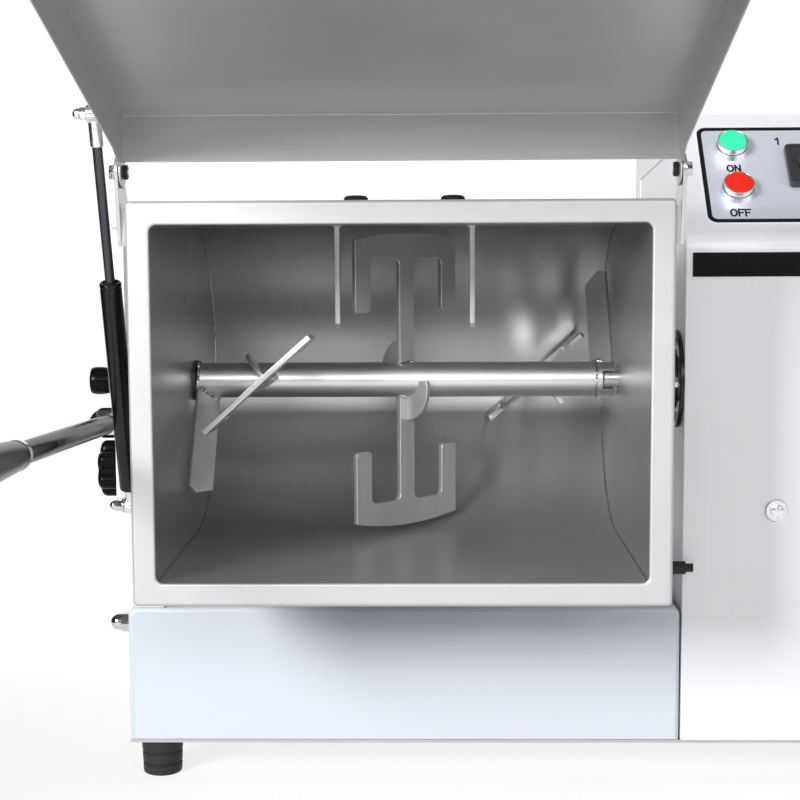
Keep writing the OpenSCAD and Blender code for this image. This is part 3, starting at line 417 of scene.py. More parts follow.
leftward = (-1, 0, 0)
nickel = plated_metal("nickel_plate", (0.66, 0.66, 0.67), 0.10)
nut_low, nut_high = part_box("base_side_nuts")
nut_radius, nut_inset = 9.8, 0.0085
side_nuts = [domed_nut(f"side_nut_{i}", (nut_high.x, y, (nut_low.z + nut_high.z) / 2), leftward, nut_radius)
             for i, y in enumerate((nut_low.y + nut_inset, nut_high.y - nut_inset))]
add_piece(joined("side_domed_nuts", side_nuts), nickel, "frame", "chrome", "base_side_nuts")


# The left column is a welded closed box of sheet steel with a half round top. A black polymer
# bush with a flange sits in it and carries the drum's left journal.
def softened(name, node, width, steps=2, folds=()):
    """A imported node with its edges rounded; folds holds (width, test) for the wider bends."""
    shape = bmesh.new()
    shape.from_mesh(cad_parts[node].data)
    bmesh.ops.remove_doubles(shape, verts=shape.verts[:], dist=2e-6)
    bmesh.ops.dissolve_limit(shape, angle_limit=math.radians(0.4), verts=shape.verts[:], edges=shape.edges[:])

    def turns(edge):
        return len(edge.link_faces) == 2 and edge.calc_face_angle(0) > math.radians(30)
    done = set()
    for wide, test in folds:
        bends = [edge for edge in shape.edges if turns(edge) and test(edge.verts[0].co, edge.verts[1].co)]
        made = bmesh.ops.bevel(shape, geom=bends, offset=wide, segments=5, profile=0.5, affect="EDGES")
        done.update(made["faces"])
    sharp = [edge for edge in shape.edges if turns(edge) and not done & set(edge.link_faces)]
    bmesh.ops.bevel(shape, geom=sharp, offset=width, segments=steps, profile=0.5, affect="EDGES")
    mesh = bpy.data.meshes.new(name)
    shape.to_mesh(mesh)
    shape.free()
    piece = bpy.data.objects.new(name, mesh)
    bpy.context.scene.collection.objects.link(piece)
    smooth_over(piece, 35)
    return piece


housing_steel = sheet_steel("housing_sheet", (0.90, 0.90, 0.93), 0.48, (220, 220, 5), tint=0.010, metal=0.30)
add_piece(softened("column_box", "left_column", 0.0012), housing_steel, "frame", "housing_steel",
          "left_column")
bush_polymer = moulding("bush_polymer", (0.035, 0.035, 0.038), 0.45)
dress(bush_polymer, "column_bush")


# The drive housing is a casing of folded stainless sheet with a sloping face above a soft
# bend. A thin cover closes its back and top and laps over both sides.
shell_low, shell_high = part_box("housing_shell")
touch = 1e-4


def on_front(a, b):
    return abs(a.y - shell_low.y) < touch and abs(b.y - shell_low.y) < touch


def outer_upright(a, b):
    sides = (shell_low.x, shell_high.x)
    return on_front(a, b) and any(abs(a.x - x) < touch and abs(b.x - x) < touch for x in sides)


def outer_bend(a, b):
    return on_front(a, b) and min(a.z, b.z) > shell_low.z + 0.05


housing_folds = ((0.009, outer_bend), (0.0028, outer_upright))
casing = softened("housing_casing", "housing_shell", 0.0006, folds=housing_folds)
add_piece(casing, housing_steel, "frame", "housing_steel", "housing_shell")
add_piece(softened("housing_lid_sheet", "housing_cover", 0.0004), housing_steel, "frame", "housing_steel",
          "housing_cover")


# Pan head screws hold the cover, and one hexagon bolt with a washer goes through the front
# into the gear case's bracket. All are bright plated.
shaft_low, shaft_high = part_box("agitator_shaft")
middle = (shaft_low + shaft_high) / 2


def spot(x, y, z):
    """A place given in millimetres from the middle of the mixing shaft."""
    return middle + Vector((x, y, z)) / 1000


def rod(radius, start, end):
    """The profile of a plain round rod."""
    return [(0, start), (radius, start), (radius, end), (0, end)]


rightward, frontward, backward = (1, 0, 0), (0, -1, 0), (0, 1, 0)
front_bolt = spot(343, -45, -119)
washer = [(0, 0), (9.7, 0), (10, 0.3), (10, 1.3), (9.7, 1.6), (0, 1.6)]
pan = [(0, 0), (4, 0), (4, 1.0), (3.6, 1.9), (2.4, 2.4), (1.2, 2.5), (1.1, 1.6), (0, 1.6)]
cover_left, cover_right, screw_ys, screw_z = 255.8, 458.2, (95, 298), 232.8
fixings = [turned("bolt_washer", washer, front_bolt, frontward),
           hex_block("bolt_hexagon", front_bolt + Vector((0, -0.0016, 0)), frontward, 6.5, 5.5),
           turned("bolt_stem", rod(4, 0, 7), front_bolt, backward, around=24)]
for i, (x, outward) in enumerate(((cover_left, leftward), (cover_right, rightward))):
    fixings += [turned(f"pan_screw_{i}_{j}", pan, spot(x, y, screw_z), outward, around=24)
                for j, y in enumerate(screw_ys)]
zinc = plated_metal("zinc_plate", (0.74, 0.75, 0.77), 0.24)
add_piece(joined("housing_fixings", fixings), zinc, "frame", "chrome", "housing_screws")


# The right bearing's cover is a flat black ring on the housing's side, held by four small
# bright nuts on studs. A black polymer bush with a lip runs inside it round the journal.
flange_x, stud_circle = 257, 36
flange_profile = [(29, 0), (29, 4), (29.6, 4.2), (44.6, 4.2), (45.7, 3.5), (46, 2.2), (46, 0)]
flange_paint = moulding("black_enamel", (0.014, 0.014, 0.016), 0.30, 0.04, 0.04, 0.4)
flange_ring = turned("flange_ring", flange_profile, spot(flange_x, 0, 0), leftward, around=72)
add_piece(flange_ring, flange_paint, "frame", "gas_black", "bearing_flange")
studs = []
for i in range(4):
    turn = math.radians(90 * i)
    stud = spot(flange_x, -stud_circle * math.sin(turn), stud_circle * math.cos(turn))
    studs.append(turned(f"flange_stud_{i}", rod(2.7, -7, 9), stud, leftward, around=20))
    studs.append(hex_block(f"flange_nut_{i}", stud + Vector((-0.0041, 0, 0)), leftward, 5.5, 4.4))
add_piece(joined("flange_nuts", studs), zinc, "frame", "chrome")
dress(bush_polymer, "trunnion_bush")


# Inside the housing stand a cast gear case, two ball bearings and a finned motor. The castings
# are sand cast and left bare, and the gears are machined and oiled.
def casting(name, colour):
    finish, tree, shader = new_finish(name)
    shader.inputs["Metallic"].default_value = 0.7
    shader.inputs["Roughness"].default_value = 0.6
    sand = noise(tree, 420.0, 6.0)
    shade(tree, shader, sand, colour, 0.85, 1.0)
    emboss(tree, shader, sand, 0.4, 0.0004)
    return finish


dress(casting("bare_casting", (0.50, 0.51, 0.53)), "gear_case", "motor_body")
ground_steel = sheet_steel("ground_steel", (0.52, 0.52, 0.53), 0.28, (40, 500, 500), tint=0.05)
dress(ground_steel, "shaft_bearings", "motor_pinion", "left_trunnion", "right_trunnion")
dress(plated_metal("oiled_bronze", (0.62, 0.44, 0.21), 0.30), "drive_gear")


# The control panel is a thin printed aluminium plate on the slope. A heavy black line with
# round corners runs along its edge, and the marks are printed in black.
slope_lean = math.radians(41.5)
bend_y, bend_z = -45, 131


def on_slope(x, up, out):
    """A place in millimetres on the sloping face: across, up from the bend, and out of it."""
    return spot(x, bend_y + up * math.sin(slope_lean) - out * math.cos(slope_lean),
                bend_z + up * math.cos(slope_lean) + out * math.sin(slope_lean))


def rounded_loop(half_w, half_h, r, n=6):
    """Points round a rectangle with round corners, anticlockwise from the right side."""
    loop = []
    for k, (sx, sy) in enumerate(((1, 1), (-1, 1), (-1, -1), (1, -1))):
        for i in range(n + 1):
            angle = math.pi / 2 * (k + i / n)
            loop.append((sx * (half_w - r) + r * math.cos(angle), sy * (half_h - r) + r * math.sin(angle)))
    return loop


def slope_ring(name, across, up, outer, inner, low, high):
    """A flat ring on the slope between two loops, from low to high out of it."""
    points = [on_slope(across + u, up + v, out) for loop, out in
              ((outer, low), (outer, high), (inner, high), (inner, low)) for u, v in loop]
    return link_mesh(name, points, band_faces(4, len(outer), closed=True))


def ribbon(name, strokes, left, low):
    """Printed strokes on the slope; each stroke is a list of (across, up) points in letter heights."""
    points, faces = [], []
    out = ink_low
    for stroke in strokes:
        for (ax, ay), (bx, by) in zip(stroke, stroke[1:]):
            along = Vector((bx - ax, by - ay)).normalized() * stroke_width / 2
            ax, ay, bx, by = (letter_height * value for value in (ax, ay, bx, by))
            corners = [(ax - along.x - along.y, ay - along.y + along.x),
                       (ax - along.x + along.y, ay - along.y - along.x),
                       (bx + along.x + along.y, by + along.y - along.x),
                       (bx + along.x - along.y, by + along.y + along.x)]
            start = len(points)
            points += [on_slope(left + u, low + v, out) for u, v in corners]
            points += [on_slope(left + u, low + v, out + ink_thick) for u, v in corners]
            faces += [(start + 7, start + 6, start + 5, start + 4)]
            faces += [tuple(start + corner for corner in face) for face in band_faces(2, 4)]
            out += ink_step
    return link_mesh(name, points, faces)


panel_metal = sheet_steel("panel_aluminium", (0.84, 0.87, 0.97), 0.50, (30, 300, 300), tint=0.01, metal=0.6)
add_piece(softened("panel_sheet", "control_panel_plate", 0.0003), panel_metal, "frame", "panel_metal",
          "control_panel_plate")
border_w, border_h, border_line = 79.7, 60.7, 4.2
border = slope_ring("panel_border", 358.5, 80, rounded_loop(border_w, border_h, 8.8, 10),
                    rounded_loop(border_w - border_line, border_h - border_line, 5.2, 10), 0.9, 1.14)
# Each stroke lies a hair above the last one, so that crossing strokes never share a face.
ink_low, ink_thick, ink_step = 1.0, 0.12, 0.004
letter_height, letter_gap, stroke_width = 8.4, 0.12, 1.7
buttons_x, switch_x, side_mark = 309.5, 383.5, 29.5
round_o = [(0.36 + 0.32 * math.cos(a), 0.5 + 0.46 * math.sin(a)) for a in angles(0, 360, 20)]
letters = {"O": ([round_o], 0.72), "0": ([round_o], 0.72),
           "N": ([[(0.08, 0.04), (0.08, 0.96), (0.62, 0.04), (0.62, 0.96)]], 0.70),
           "F": ([[(0.08, 0.04), (0.08, 0.96), (0.6, 0.96)], [(0.08, 0.52), (0.5, 0.52)]], 0.62),
           "1": ([[(0.1, 0.76), (0.34, 0.96), (0.34, 0.04)]], 0.46),
           "2": ([[(0.1, 0.76), (0.2, 0.92), (0.4, 0.96), (0.58, 0.84), (0.56, 0.62), (0.08, 0.04),
                   (0.62, 0.04)]], 0.7)}
words = (("ON", buttons_x, 83), ("OFF", buttons_x, 27), ("1", switch_x - side_mark, 118),
         ("0", switch_x, 122), ("2", switch_x + side_mark, 118))
printed = [border]
for i, (word, word_x, low) in enumerate(words):
    left = word_x - letter_height * (sum(letters[mark][1] + letter_gap for mark in word) - letter_gap) / 2
    for j, mark in enumerate(word):
        strokes, width = letters[mark]
        printed.append(ribbon(f"mark_{i}_{j}", strokes, left, low))
        left += letter_height * (width + letter_gap)
ink = moulding("black_ink", (0.008, 0.008, 0.009), 0.42, shine=0.2)
add_piece(joined("panel_print", printed), ink, "frame", "black_plastic")


# Each push button has a turned and plated bezel that is screwed down on the panel, and a moving
# cap: a plated cup with a flat coloured plastic disc pressed into it.
bezel_steel = plated_metal("satin_chrome", (0.84, 0.84, 0.86), 0.24)
out_of_slope = on_slope(0, 0, 1) - on_slope(0, 0, 0)
start_up, stop_up = 112, 58
bezel_profile = [(11, -11), (11, 0.9), (15.9, 0.9), (16, 1.2), (15.9, 1.8), (15.5, 2.6), (15.1, 4.2),
                 (14.7, 6.4), (14.5, 6.9), (14.3, 7), (14.05, 6.8), (14.05, 2.5), (4.4, 2.5), (4.4, -11)]
cup_profile = [(0, 7.0), (13.2, 7.0), (13.9, 7.5), (13.95, 8.2), (13.95, 12.6), (13.7, 13.3),
               (13.2, 13.5), (12.9, 13.2), (12.9, 12.4), (0, 12.4)]
disc_profile = [(0, 12.2), (12.85, 12.2), (12.85, 12.9), (12.5, 13.2), (11.5, 13.35), (6, 13.48), (0, 13.5)]


def button_part(name, profile, up, around=64):
    return turned(name, profile, on_slope(buttons_x, up, 0), out_of_slope, around)


bezels = [button_part(f"bezel_{i}", bezel_profile, up) for i, up in enumerate((stop_up, start_up))]
add_piece(joined("turned_bezels", bezels), bezel_steel, "frame", "chrome", "button_bezels")
for word, up, slot, colour in (("start", start_up, "green_cap", (0.045, 0.80, 0.42)),
                               ("stop", stop_up, "red_cap", (0.84, 0.022, 0.012))):
    cup = button_part(f"{word}_cup", cup_profile, up)
    stalk = button_part(f"{word}_stalk", rod(4, -5, 7.2), up, around=48)
    add_piece(joined(f"{word}_cup_and_stem", [cup, stalk]), bezel_steel, f"{word}_button", "chrome",
              f"{word}_cap")
    cap_plastic = moulding(f"{slot}_plastic", colour, 0.30, 0.04, 0.03, 0.25)
    add_piece(button_part(f"{word}_disc", disc_profile, up), cap_plastic, f"{word}_button", slot)


# The rotary switch is a square black moulding with a raised border, and a round knob with a
# grip bar. Contact blocks hang behind the panel, and two contactors stand on the rear wall.
switch_plastic = moulding("switch_plastic", (0.040, 0.040, 0.045), 0.30, 0.04, 0.05, 0.3)
add_piece(softened("switch_square", "selector_plate", 0.0014, steps=3), switch_plastic, "frame",
          "black_plastic", "selector_plate")
switch_up, pointer_up = 86.5, 98
raised = slope_ring("switch_border", switch_x, switch_up, rounded_loop(23.6, 23.6, 3.4),
                    rounded_loop(20.8, 20.8, 2), 8.8, 10.0)
add_piece(raised, switch_plastic, "frame", "black_plastic")
add_piece(softened("switch_knob", "selector_knob", 0.0012, steps=3), switch_plastic, "selector",
          "black_plastic", "selector_knob")
pointer = slope_ring("knob_pointer", switch_x, pointer_up, rounded_loop(0.9, 4.0, 0.8, 3),
                     rounded_loop(0.1, 3.2, 0.05, 3), 22.4, 22.7)
add_piece(pointer, moulding("white_ink", (0.80, 0.80, 0.80), 0.5), "selector", "panel_metal")
dress(moulding("block_plastic", (0.05, 0.05, 0.052), 0.5), "switch_blocks", "contactors")


# A blank black plate is riveted below the bend, and the mains cable comes in through a black
# polymer gland at the back. A rubber stop on the side ends the drum's tilt.
gloss_black = moulding("gloss_black_plate", (0.007, 0.007, 0.008), 0.30, 0.03, 0.01, 0.15)
add_piece(softened("blank_plate", "label_plate", 0.0002), gloss_black, "frame", "black_plastic",
          "label_plate")
dress(bush_polymer, "cable_gland")
dress(rubber, "tilt_stop")


# The drum is a trough of bead blasted stainless sheet between two thicker end walls. It was
# welded inside along both walls, and the welds were ground down to a thin bright line.
drum_steel = sheet_steel("drum_sheet", (0.48, 0.48, 0.485), 0.32, (150, 14, 14), cloud=0.05, streak=0.012,
                         tint=0.03, relief=0.005, metal=0.80)
wall_steel = sheet_steel("wall_sheet", (0.47, 0.47, 0.475), 0.31, (150, 18, 60), cloud=0.05, streak=0.012,
                         tint=0.03, relief=0.005, metal=0.80)
for name, node, width, finish in (("trough_sheet", "drum_trough", 0.0004, drum_steel),
                                  ("left_wall_sheet", "left_end_wall", 0.0005, wall_steel),
                                  ("right_wall_sheet", "right_end_wall", 0.0005, wall_steel),
                                  ("lug_plate", "stop_lug", 0.0008, drum_steel)):
    add_piece(softened(name, node, width), finish, "drum", "satin_steel", node)


def bead(name, path, radius, ripple=0.2, closed=False, seed=1):
    """A weld bead along a path of places, lumpy like a row of small drops."""
    dice = random.Random(seed)
    count, around = len(path), 8
    points = []
    for i, place in enumerate(path):
        before = path[i - 1] if closed or i else path[0]
        after = path[(i + 1) % count] if closed or i < count - 1 else path[-1]
        along = (after - before).normalized()
        side = along.cross(Vector((0.31, 0.17, 0.93))).normalized()
        rise = along.cross(side)
        size = radius * (1 - ripple + ripple * abs(math.sin(1.1 * i)) + ripple * dice.uniform(-0.5, 0.5))
        if not closed and i in (0, count - 1):
            size *= 0.4
        for k in range(around):
            angle = 2 * math.pi * k / around
            points.append(place + size * (math.cos(angle) * side + math.sin(angle) * rise))
    faces = band_faces(count, around, closed)
    if not closed:
        faces += [tuple(range(around - 1, -1, -1)), tuple((count - 1) * around + k for k in range(around))]
    return closed_mesh(name, points, faces)


weld_steel = sheet_steel("weld_steel", (0.50, 0.49, 0.48), 0.24, (300, 300, 300), tint=0.25)
seam_x, seam_radius, seam_mouth, seam_step = 199.6, 144.7, -236, 4
seams = []
for side in (-1, 1):
    x = side * seam_x
    path = [spot(x, y, -seam_radius) for y in range(seam_mouth, 0, seam_step)]
    path += [spot(x, seam_radius * math.sin(a), -seam_radius * math.cos(a)) for a in angles(2, 178, 2)]
    path += [spot(x, y, seam_radius) for y in range(0, seam_mouth - 1, -seam_step)]
    seams.append(bead(f"wall_seam_{side}", path, 0.0010, ripple=0.08, seed=3 + side))
add_piece(joined("wall_seams", seams), weld_steel, "drum", "satin_steel")


# The mouth's rim is one folded sheet: a flat face, a soft outer fold and a short skirt. Its
# corners are welded and ground flush, and the whole rim has a pale satin finish.
mouth_y, mouth_half_x, mouth_half_z, mouth_corner = -240, 200, 145, 6
rim_wide, inner_fold, outer_fold = 19, 1.8, 3.4
rim_profile = [(0, 2.2), (0, inner_fold)]
rim_profile += [(inner_fold - inner_fold * math.cos(a), inner_fold - inner_fold * math.sin(a))
                for a in angles(15, 90, 15)]
rim_profile += [(rim_wide - outer_fold + outer_fold * math.sin(a), outer_fold - outer_fold * math.cos(a))
                for a in angles(0, 90, 15)]
rim_profile += [(rim_wide, 17.6), (18.7, 18), (17.3, 18), (17, 17.6), (17, 4), (16, 2.4), (15, 2.2)]
rim_points = [spot(u, mouth_y + back, v) for out, back in rim_profile
              for u, v in rounded_loop(mouth_half_x + out, mouth_half_z + out, mouth_corner - out / 8, 5)]
rim_faces = band_faces(len(rim_profile), len(rim_points) // len(rim_profile), closed=True)
rim_steel = sheet_steel("rim_sheet", (0.58, 0.58, 0.583), 0.46, (45, 45, 45), cloud=0.05, tint=0.012,
                        relief=0.02, metal=0.5)
add_piece(closed_mesh("folded_rim", rim_points, rim_faces), rim_steel, "drum", "rim_steel", "drum_rim")


# Two flat comb bars with a clipped corner are welded to the trough's top, one on each side of
# the middle paddle, so that the meat can't turn with it.
bar_steel = sheet_steel("bar_steel", (0.60, 0.60, 0.61), 0.38, (200, 200, 12), tint=0.05, metal=0.9)
add_piece(softened("comb_blades", "comb_bars", 0.0005), bar_steel, "drum", "satin_steel", "comb_bars")
bar_x, bar_face, root_y, root_z, root_step = 63, 3.1, -15, 144.6, 0.6
roots = []
for x in (-bar_x, bar_x):
    for side in (-bar_face, bar_face):
        path = [spot(x + side, root_y + root_step * i, root_z) for i in range(22)]
        roots.append(bead(f"comb_root_{x}_{side}", path, 0.0013, seed=int(x + side)))
add_piece(joined("comb_welds", roots), weld_steel, "drum", "satin_steel")


# Two rubber buffers are screwed to the outside of the trough. The lid rests on them when it is
# open, so each has a domed end and a moulded lip.
buffer_profile = [(0, 0), (10.2, 0), (10.2, 16.5), (9.5, 17.2), (9.5, 18.0), (10.2, 18.6), (10.1, 19.8),
                  (9.2, 21.2), (7.4, 22), (3, 22.4), (0, 22.4)]
buffer_xs, buffer_y, buffer_z = (-38, 43), -168, 147
buffers = [turned(f"buffer_{i}", buffer_profile, spot(x, buffer_y, buffer_z), upward)
           for i, x in enumerate(buffer_xs)]
add_piece(joined("rubber_buffers", buffers), rubber, "drum", "rubber", "rear_bumpers")


# The lid hinge has two ears of flat plate, welded to the rim on small pads. A bolt goes through
# each ear and the lid's tab, with a dark nut on the inside.
ear_steel = sheet_steel("ear_plate", (0.58, 0.58, 0.59), 0.34, (90, 90, 90), tint=0.03, metal=0.85)
add_piece(softened("ear_plates", "hinge_ears", 0.0005), ear_steel, "drum", "satin_steel", "hinge_ears")
hinge_washer = [(4, 0), (8.6, 0), (8.8, 0.3), (8.8, 1.0), (8.5, 1.2), (4, 1.2)]
hinge_stem = [(0, 0), (3.95, 0), (3.95, 9.3), (3.4, 9.9), (0, 9.9)]
knurl_profile = [(4, 0), (5.4, 0), (5.8, 0.5), (5.8, 3.2), (5.3, 3.7), (4, 3.7)]
hinge_y, hinge_z = -232, 187
ear_face, head_face, nut_face = 225.6, 226.7, 220.2


def at_hinge(x):
    return spot(x, hinge_y, hinge_z)


def knurled(angle, reach):
    return 0.96 + 0.04 * math.cos(18 * angle)


heads, nuts = [], []
for side, outward, inward in ((-1, leftward, rightward), (1, rightward, leftward)):
    heads.append(turned(f"hinge_washer_{side}", hinge_washer, at_hinge(side * ear_face), outward))
    heads.append(hex_block(f"hinge_head_{side}", at_hinge(side * head_face), outward, 6.5, 4.4))
    heads.append(turned(f"hinge_stem_{side}", hinge_stem, at_hinge(side * ear_face), inward))
    nuts.append(turned(f"hinge_nut_{side}", knurl_profile, at_hinge(side * nut_face), inward, around=72,
                       scallop=knurled))
add_piece(joined("hinge_bolt_heads", heads), nickel, "drum", "chrome", "hinge_bolts")
add_piece(joined("hinge_nuts", nuts), flange_paint, "drum", "gas_black")


# The lid is a shallow tray of thin stainless sheet with welded corners and two hinge tabs. A
# stud on its left side carries the gas spring's upper eye.
lid_sheet = sheet_steel("lid_sheet", (0.60, 0.60, 0.61), 0.46, (12, 160, 160), cloud=0.05, metal=0.75)
add_piece(softened("lid_tray", "lid_shell", 0.0005), lid_sheet, "lid", "lid_steel", "lid_shell")
dress(zinc, "lid_gas_stud")


# The tilt plate turns with the drum beside the column and is cut from thick plate, with an arc
# slot for the clamp. The lever's chromed hub and tube are bolted to it.
def round_end(radius, reach):
    """The last points of a profile that ends in a half ball, from its widest place on."""
    return [(radius * math.cos(a), reach + radius * math.sin(a)) for a in angles(9, 90, 9)]


add_piece(softened("slotted_plate", "tilt_plate", 0.0010), housing_steel, "drum", "housing_steel",
          "tilt_plate")
lever_y, lever_z, lever_rise = -20, -38, math.radians(2.66)
lever_steel = plated_metal("polished_tube", (0.27, 0.26, 0.25), 0.16)
lever_steel.node_tree.nodes["Principled BSDF"].inputs["Specular Tint"].default_value = (0.45, 0.44, 0.43, 1)
lever_root = spot(-276.5, lever_y, lever_z)
toward_grip = Vector((0, -math.cos(lever_rise), math.sin(lever_rise)))
tube = [(0, 7), (6, 7), (6, 27.6), (8.2, 28.5), (8.9, 29.0), (9, 30), (9, 371), (8.6, 371.4), (0, 371.4)]
add_piece(turned("lever_tube", tube, lever_root, toward_grip), lever_steel, "drum", "chrome")
chrome = plated_metal("polished_chrome", (0.78, 0.78, 0.79), 0.07)
hub = [(0, 0), (14.2, 0), (14.5, 0.4), (14.5, 14.5)] + round_end(14.5, 14.5)
add_piece(turned("lever_chrome", hub, spot(-269, lever_y, lever_z), leftward), chrome, "drum", "chrome",
          "tilt_lever")


# The lever's grip is a black plastic moulding that swells towards a round end. A turned and
# plated ferrule covers its joint with the tube.
ferrule = [(9.05, 348.0), (11.2, 348.0), (11.8, 348.6), (11.8, 355.4), (11.4, 356.0), (9.05, 356.0)]
add_piece(turned("grip_ferrule", ferrule, lever_root, toward_grip), nickel, "drum", "chrome")
grip = [(9.05, 356.0), (10.8, 356.0), (11.2, 357.2), (11.5, 362), (12.4, 380), (13.4, 410), (14.4, 440),
        (14.9, 458), (15, 468)] + round_end(15, 469.5)
grip_plastic = moulding("grip_plastic", (0.005, 0.005, 0.006), 0.20, 0.03, 0.012)
grip_plastic.node_tree.nodes["Principled BSDF"].inputs["IOR"].default_value = 1.18
add_piece(turned("moulded_grip", grip, lever_root, toward_grip), grip_plastic, "drum", "grip_plastic",
          "lever_grip")


# The shaft's left end turns on a plain ground pin in a polymer bush. The pin's black knob stands
# outside the tilt plate and is pulled to free the agitator.
dress(bush_polymer, "left_shaft_bush")
dress(ground_steel, "shaft_pin")
knob_profile = [(0, 0), (11.2, 0), (11.9, 0.7), (12.6, 3.0), (13.2, 8.0), (13.1, 13.0), (12.6, 16.2),
                (11.6, 17.5), (9.8, 18), (0, 18)]
add_piece(turned("pull_knob", knob_profile, spot(-281, 0, 0), leftward), grip_plastic, "pin",
          "black_plastic", "pin_knob")


# The clamp's star knob has six lobes and is moulded on a steel washer and screw. It presses
# the tilt plate on the column.
star_radius, lobe_circle, lobe_radius, valley_radius = 27, 18.5, 8.5, 20.6
star_x, star_z = -273.3, -84


def star(angle, reach):
    part = off_sixth(angle)
    across = lobe_circle * math.sin(part)
    if abs(across) >= lobe_radius:
        return valley_radius / star_radius
    lobe = lobe_circle * math.cos(part) + math.sqrt(lobe_radius ** 2 - across ** 2)
    return max(valley_radius, lobe) / star_radius


star_profile = [(0, 0), (24.0, 0), (26.0, 0.8), (star_radius, 2.6), (star_radius, 12.5), (26.2, 15.0),
                (24.2, 17.0), (21.0, 18.0), (0, 18.0)]
star_body = turned("star_body", star_profile, spot(star_x, 0, star_z), leftward, around=120, scallop=star)
add_piece(star_body, grip_plastic, "clamp", "black_plastic", "clamp_knob")
star_centre = [(0, 17.6), (8.4, 17.6), (8.6, 18.2), (8.0, 18.6), (0, 18.7)]
add_piece(turned("star_centre", star_centre, spot(star_x, 0, star_z), leftward), grip_plastic, "clamp",
          "black_plastic")
insert = turned("star_insert", rod(13, 0, 4), spot(-269.3, 0, star_z), leftward)
screw = turned("star_screw", rod(5, 0, 39), spot(-273, 0, star_z), rightward, around=24)
add_piece(joined("star_metal", [insert, screw]), zinc, "clamp", "chrome")


# The gas spring holds the lid. Its black tube has a rolled collar, its rod is nitrided black,
# and both end eyes are zinc plated and held by small domed nuts.
spring_y, spring_z, spring_lean = -139, -97, math.radians(20.285)
spring_foot = spot(-237, spring_y, spring_z)
up_spring = Vector((0, -math.sin(spring_lean), math.cos(spring_lean)))
spring_black = moulding("spring_lacquer", (0.006, 0.006, 0.007), 0.18, 0.03, 0.010, 0.35)
tube_profile = [(0, 17), (7.4, 17), (8.6, 17.5), (9, 18.8), (9, 203.6), (8.5, 204.2), (8.5, 205.2),
                (9.05, 205.8), (9.05, 207.6), (8.5, 208.6), (7.4, 209), (6.6, 208.7), (6.2, 207.6),
                (4.15, 207.4), (4.15, 200), (0, 200)]
add_piece(turned("spring_tube", tube_profile, spring_foot, up_spring), spring_black, "gas_tube",
          "gas_black", "gas_cylinder")
rod_black = moulding("nitrided_rod", (0.018, 0.020, 0.026), 0.24, 0.04, 0.01, 0.8)
rod_profile = [(0, 177), (7.4, 177), (7.4, 183), (4, 183.2), (4, 324), (0, 324)]
add_piece(turned("spring_rod", rod_profile, spring_foot, up_spring), rod_black, "gas_piston", "gas_black",
          "gas_rod")
pale_zinc = plated_metal("pale_zinc", (0.80, 0.83, 0.86), 0.26)
add_piece(softened("upper_eye", "gas_rod_end", 0.0006), pale_zinc, "gas_piston", "chrome", "gas_rod_end")
add_piece(softened("lower_eye", "gas_cylinder_end", 0.0006), pale_zinc, "gas_tube", "chrome",
          "gas_cylinder_end")


def on_mount(name, profile, x, around=48):
    return turned(name, profile, spot(x, spring_y, spring_z), leftward, around)


mount = [on_mount("mount_boss", [(0, 0), (10, 0), (10, 26.6), (9.4, 27.4), (0, 27.4)], -203.1),
         on_mount("mount_pin", rod(3, 0, 15), -230, around=24),
         on_mount("mount_washer", [(0, 0), (6.2, 0), (6.4, 0.4), (6.4, 1.4), (6.1, 1.8), (0, 1.8)], -243.2),
         domed_nut("mount_nut", spot(-245.0, spring_y, spring_z), leftward, 5.3)]
add_piece(joined("spring_mount", mount), nickel, "drum", "chrome", "gas_lower_mount")


# The agitator is one welded piece: a thick shaft with two fork paddles in the middle, one on
# each side, quarter disc braces at their stems, and a scraper at each end.
shaft_steel = sheet_steel("shaft_steel", (0.72, 0.72, 0.72), 0.37, (90, 6, 6), cloud=0.03, streak=0.012,
                          tint=0.012, relief=0.004)
paddle_steel = sheet_steel("paddle_plate", (0.62, 0.62, 0.63), 0.31, (70, 70, 14), cloud=0.05, tint=0.03,
                           metal=0.72)
half_shaft = 1000 * (shaft_high.x - middle.x)
shaft_radius = 500 * (shaft_high.z - shaft_low.z)
slot_start, slot_half, edge = half_shaft - 12, 8.5, 0.8
pin_bore, bore_deep = 6.05, 20
shaft_profile = [(pin_bore, 0), (shaft_radius - edge, 0), (shaft_radius, edge),
                 (shaft_radius, half_shaft + slot_start), (0, half_shaft + slot_start),
                 (0, bore_deep), (pin_bore, bore_deep)]
shaft = [turned("bar_body", shaft_profile, spot(-half_shaft, 0, 0), rightward, around=96)]
first = math.asin(slot_half / shaft_radius)
arc = [first + (math.pi - 2 * first) * i / 40 for i in range(41)]
cheek_ends = ((slot_start, shaft_radius), (half_shaft - edge, shaft_radius),
              (half_shaft, shaft_radius - edge))
for side in (-1, 1):
    cheek = [[spot(x, r * math.cos(a), side * max(slot_half, r * math.sin(a))) for a in arc]
             for x, r in cheek_ends]
    shaft.append(skin_loops(f"bar_cheek_{side}", cheek))
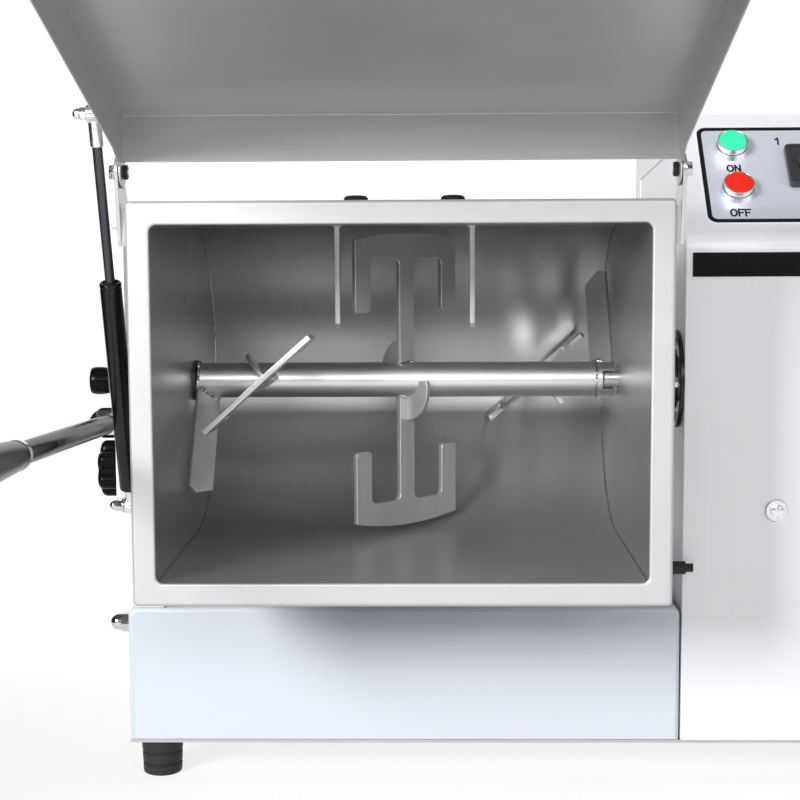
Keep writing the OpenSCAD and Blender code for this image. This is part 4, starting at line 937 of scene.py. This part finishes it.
add_piece(joined("mixing_shaft", shaft), shaft_steel, "agitator", "satin_steel", "agitator_shaft")
for name, node in (("middle_forks", "centre_paddles"), ("side_forks", "side_paddles"),
                   ("scraper_blades", "end_scrapers"), ("stem_braces", "paddle_gussets")):
    add_piece(softened(name, node, 0.0006), paddle_steel, "agitator", "satin_steel", node)
dress(ground_steel, "drive_shaft")
weld_circle = 16.6


def stem_welds(name, stem_x, turn, pitch, width, thick, size, ends=(1, -1)):
    """Beads along both faces of a plate where it stands on the shaft; turn is about the shaft."""
    made = []
    about = Matrix.Rotation(math.radians(turn), 4, "X")
    slant = math.radians(pitch)
    steps = int(width / 0.7)
    for end in ends:
        for side in (-1, 1):
            path = []
            off = side * (thick / 2 + 0.4)
            for i in range(steps + 1):
                u = -width / 2 + width * i / steps
                x = u * math.cos(slant) - off * math.sin(slant)
                y = u * math.sin(slant) + off * math.cos(slant)
                z = end * math.sqrt(max(1.0, weld_circle ** 2 - y ** 2))
                place = about @ Vector((x, y, z))
                path.append(spot(stem_x + place.x, place.y, place.z))
            made.append(bead(f"{name}_{end}_{side}", path, size, ripple=0.4, seed=len(name) + end + 3 * side))
    return made


welds = stem_welds("middle_stem", 0, 0, 42, 18, 5, 0.0016)
welds += stem_welds("left_stem", -128, 87, 42, 18, 5, 0.0014, ends=(1,))
welds += stem_welds("right_stem", 128, 87, 42, 18, 5, 0.0014, ends=(-1,))
welds += stem_welds("left_scraper", -186.5, 142, -45, 24, 4, 0.0031, ends=(1,))
welds += stem_welds("right_scraper", 186.5, 142, -45, 20, 4, 0.0028, ends=(-1,))
for x, size in ((179, 0.0013), (-195.6, 0.0019)):
    ring_path = [spot(x + 0.5 * math.sin(3 * a), weld_circle * math.cos(a), weld_circle * math.sin(a))
                 for a in (2 * math.pi * i / 110 for i in range(110))]
    welds.append(bead(f"shaft_seam_{x}", ring_path, size, ripple=0.35, closed=True, seed=7))
add_piece(joined("agitator_welds", welds), weld_steel, "agitator", "satin_steel")
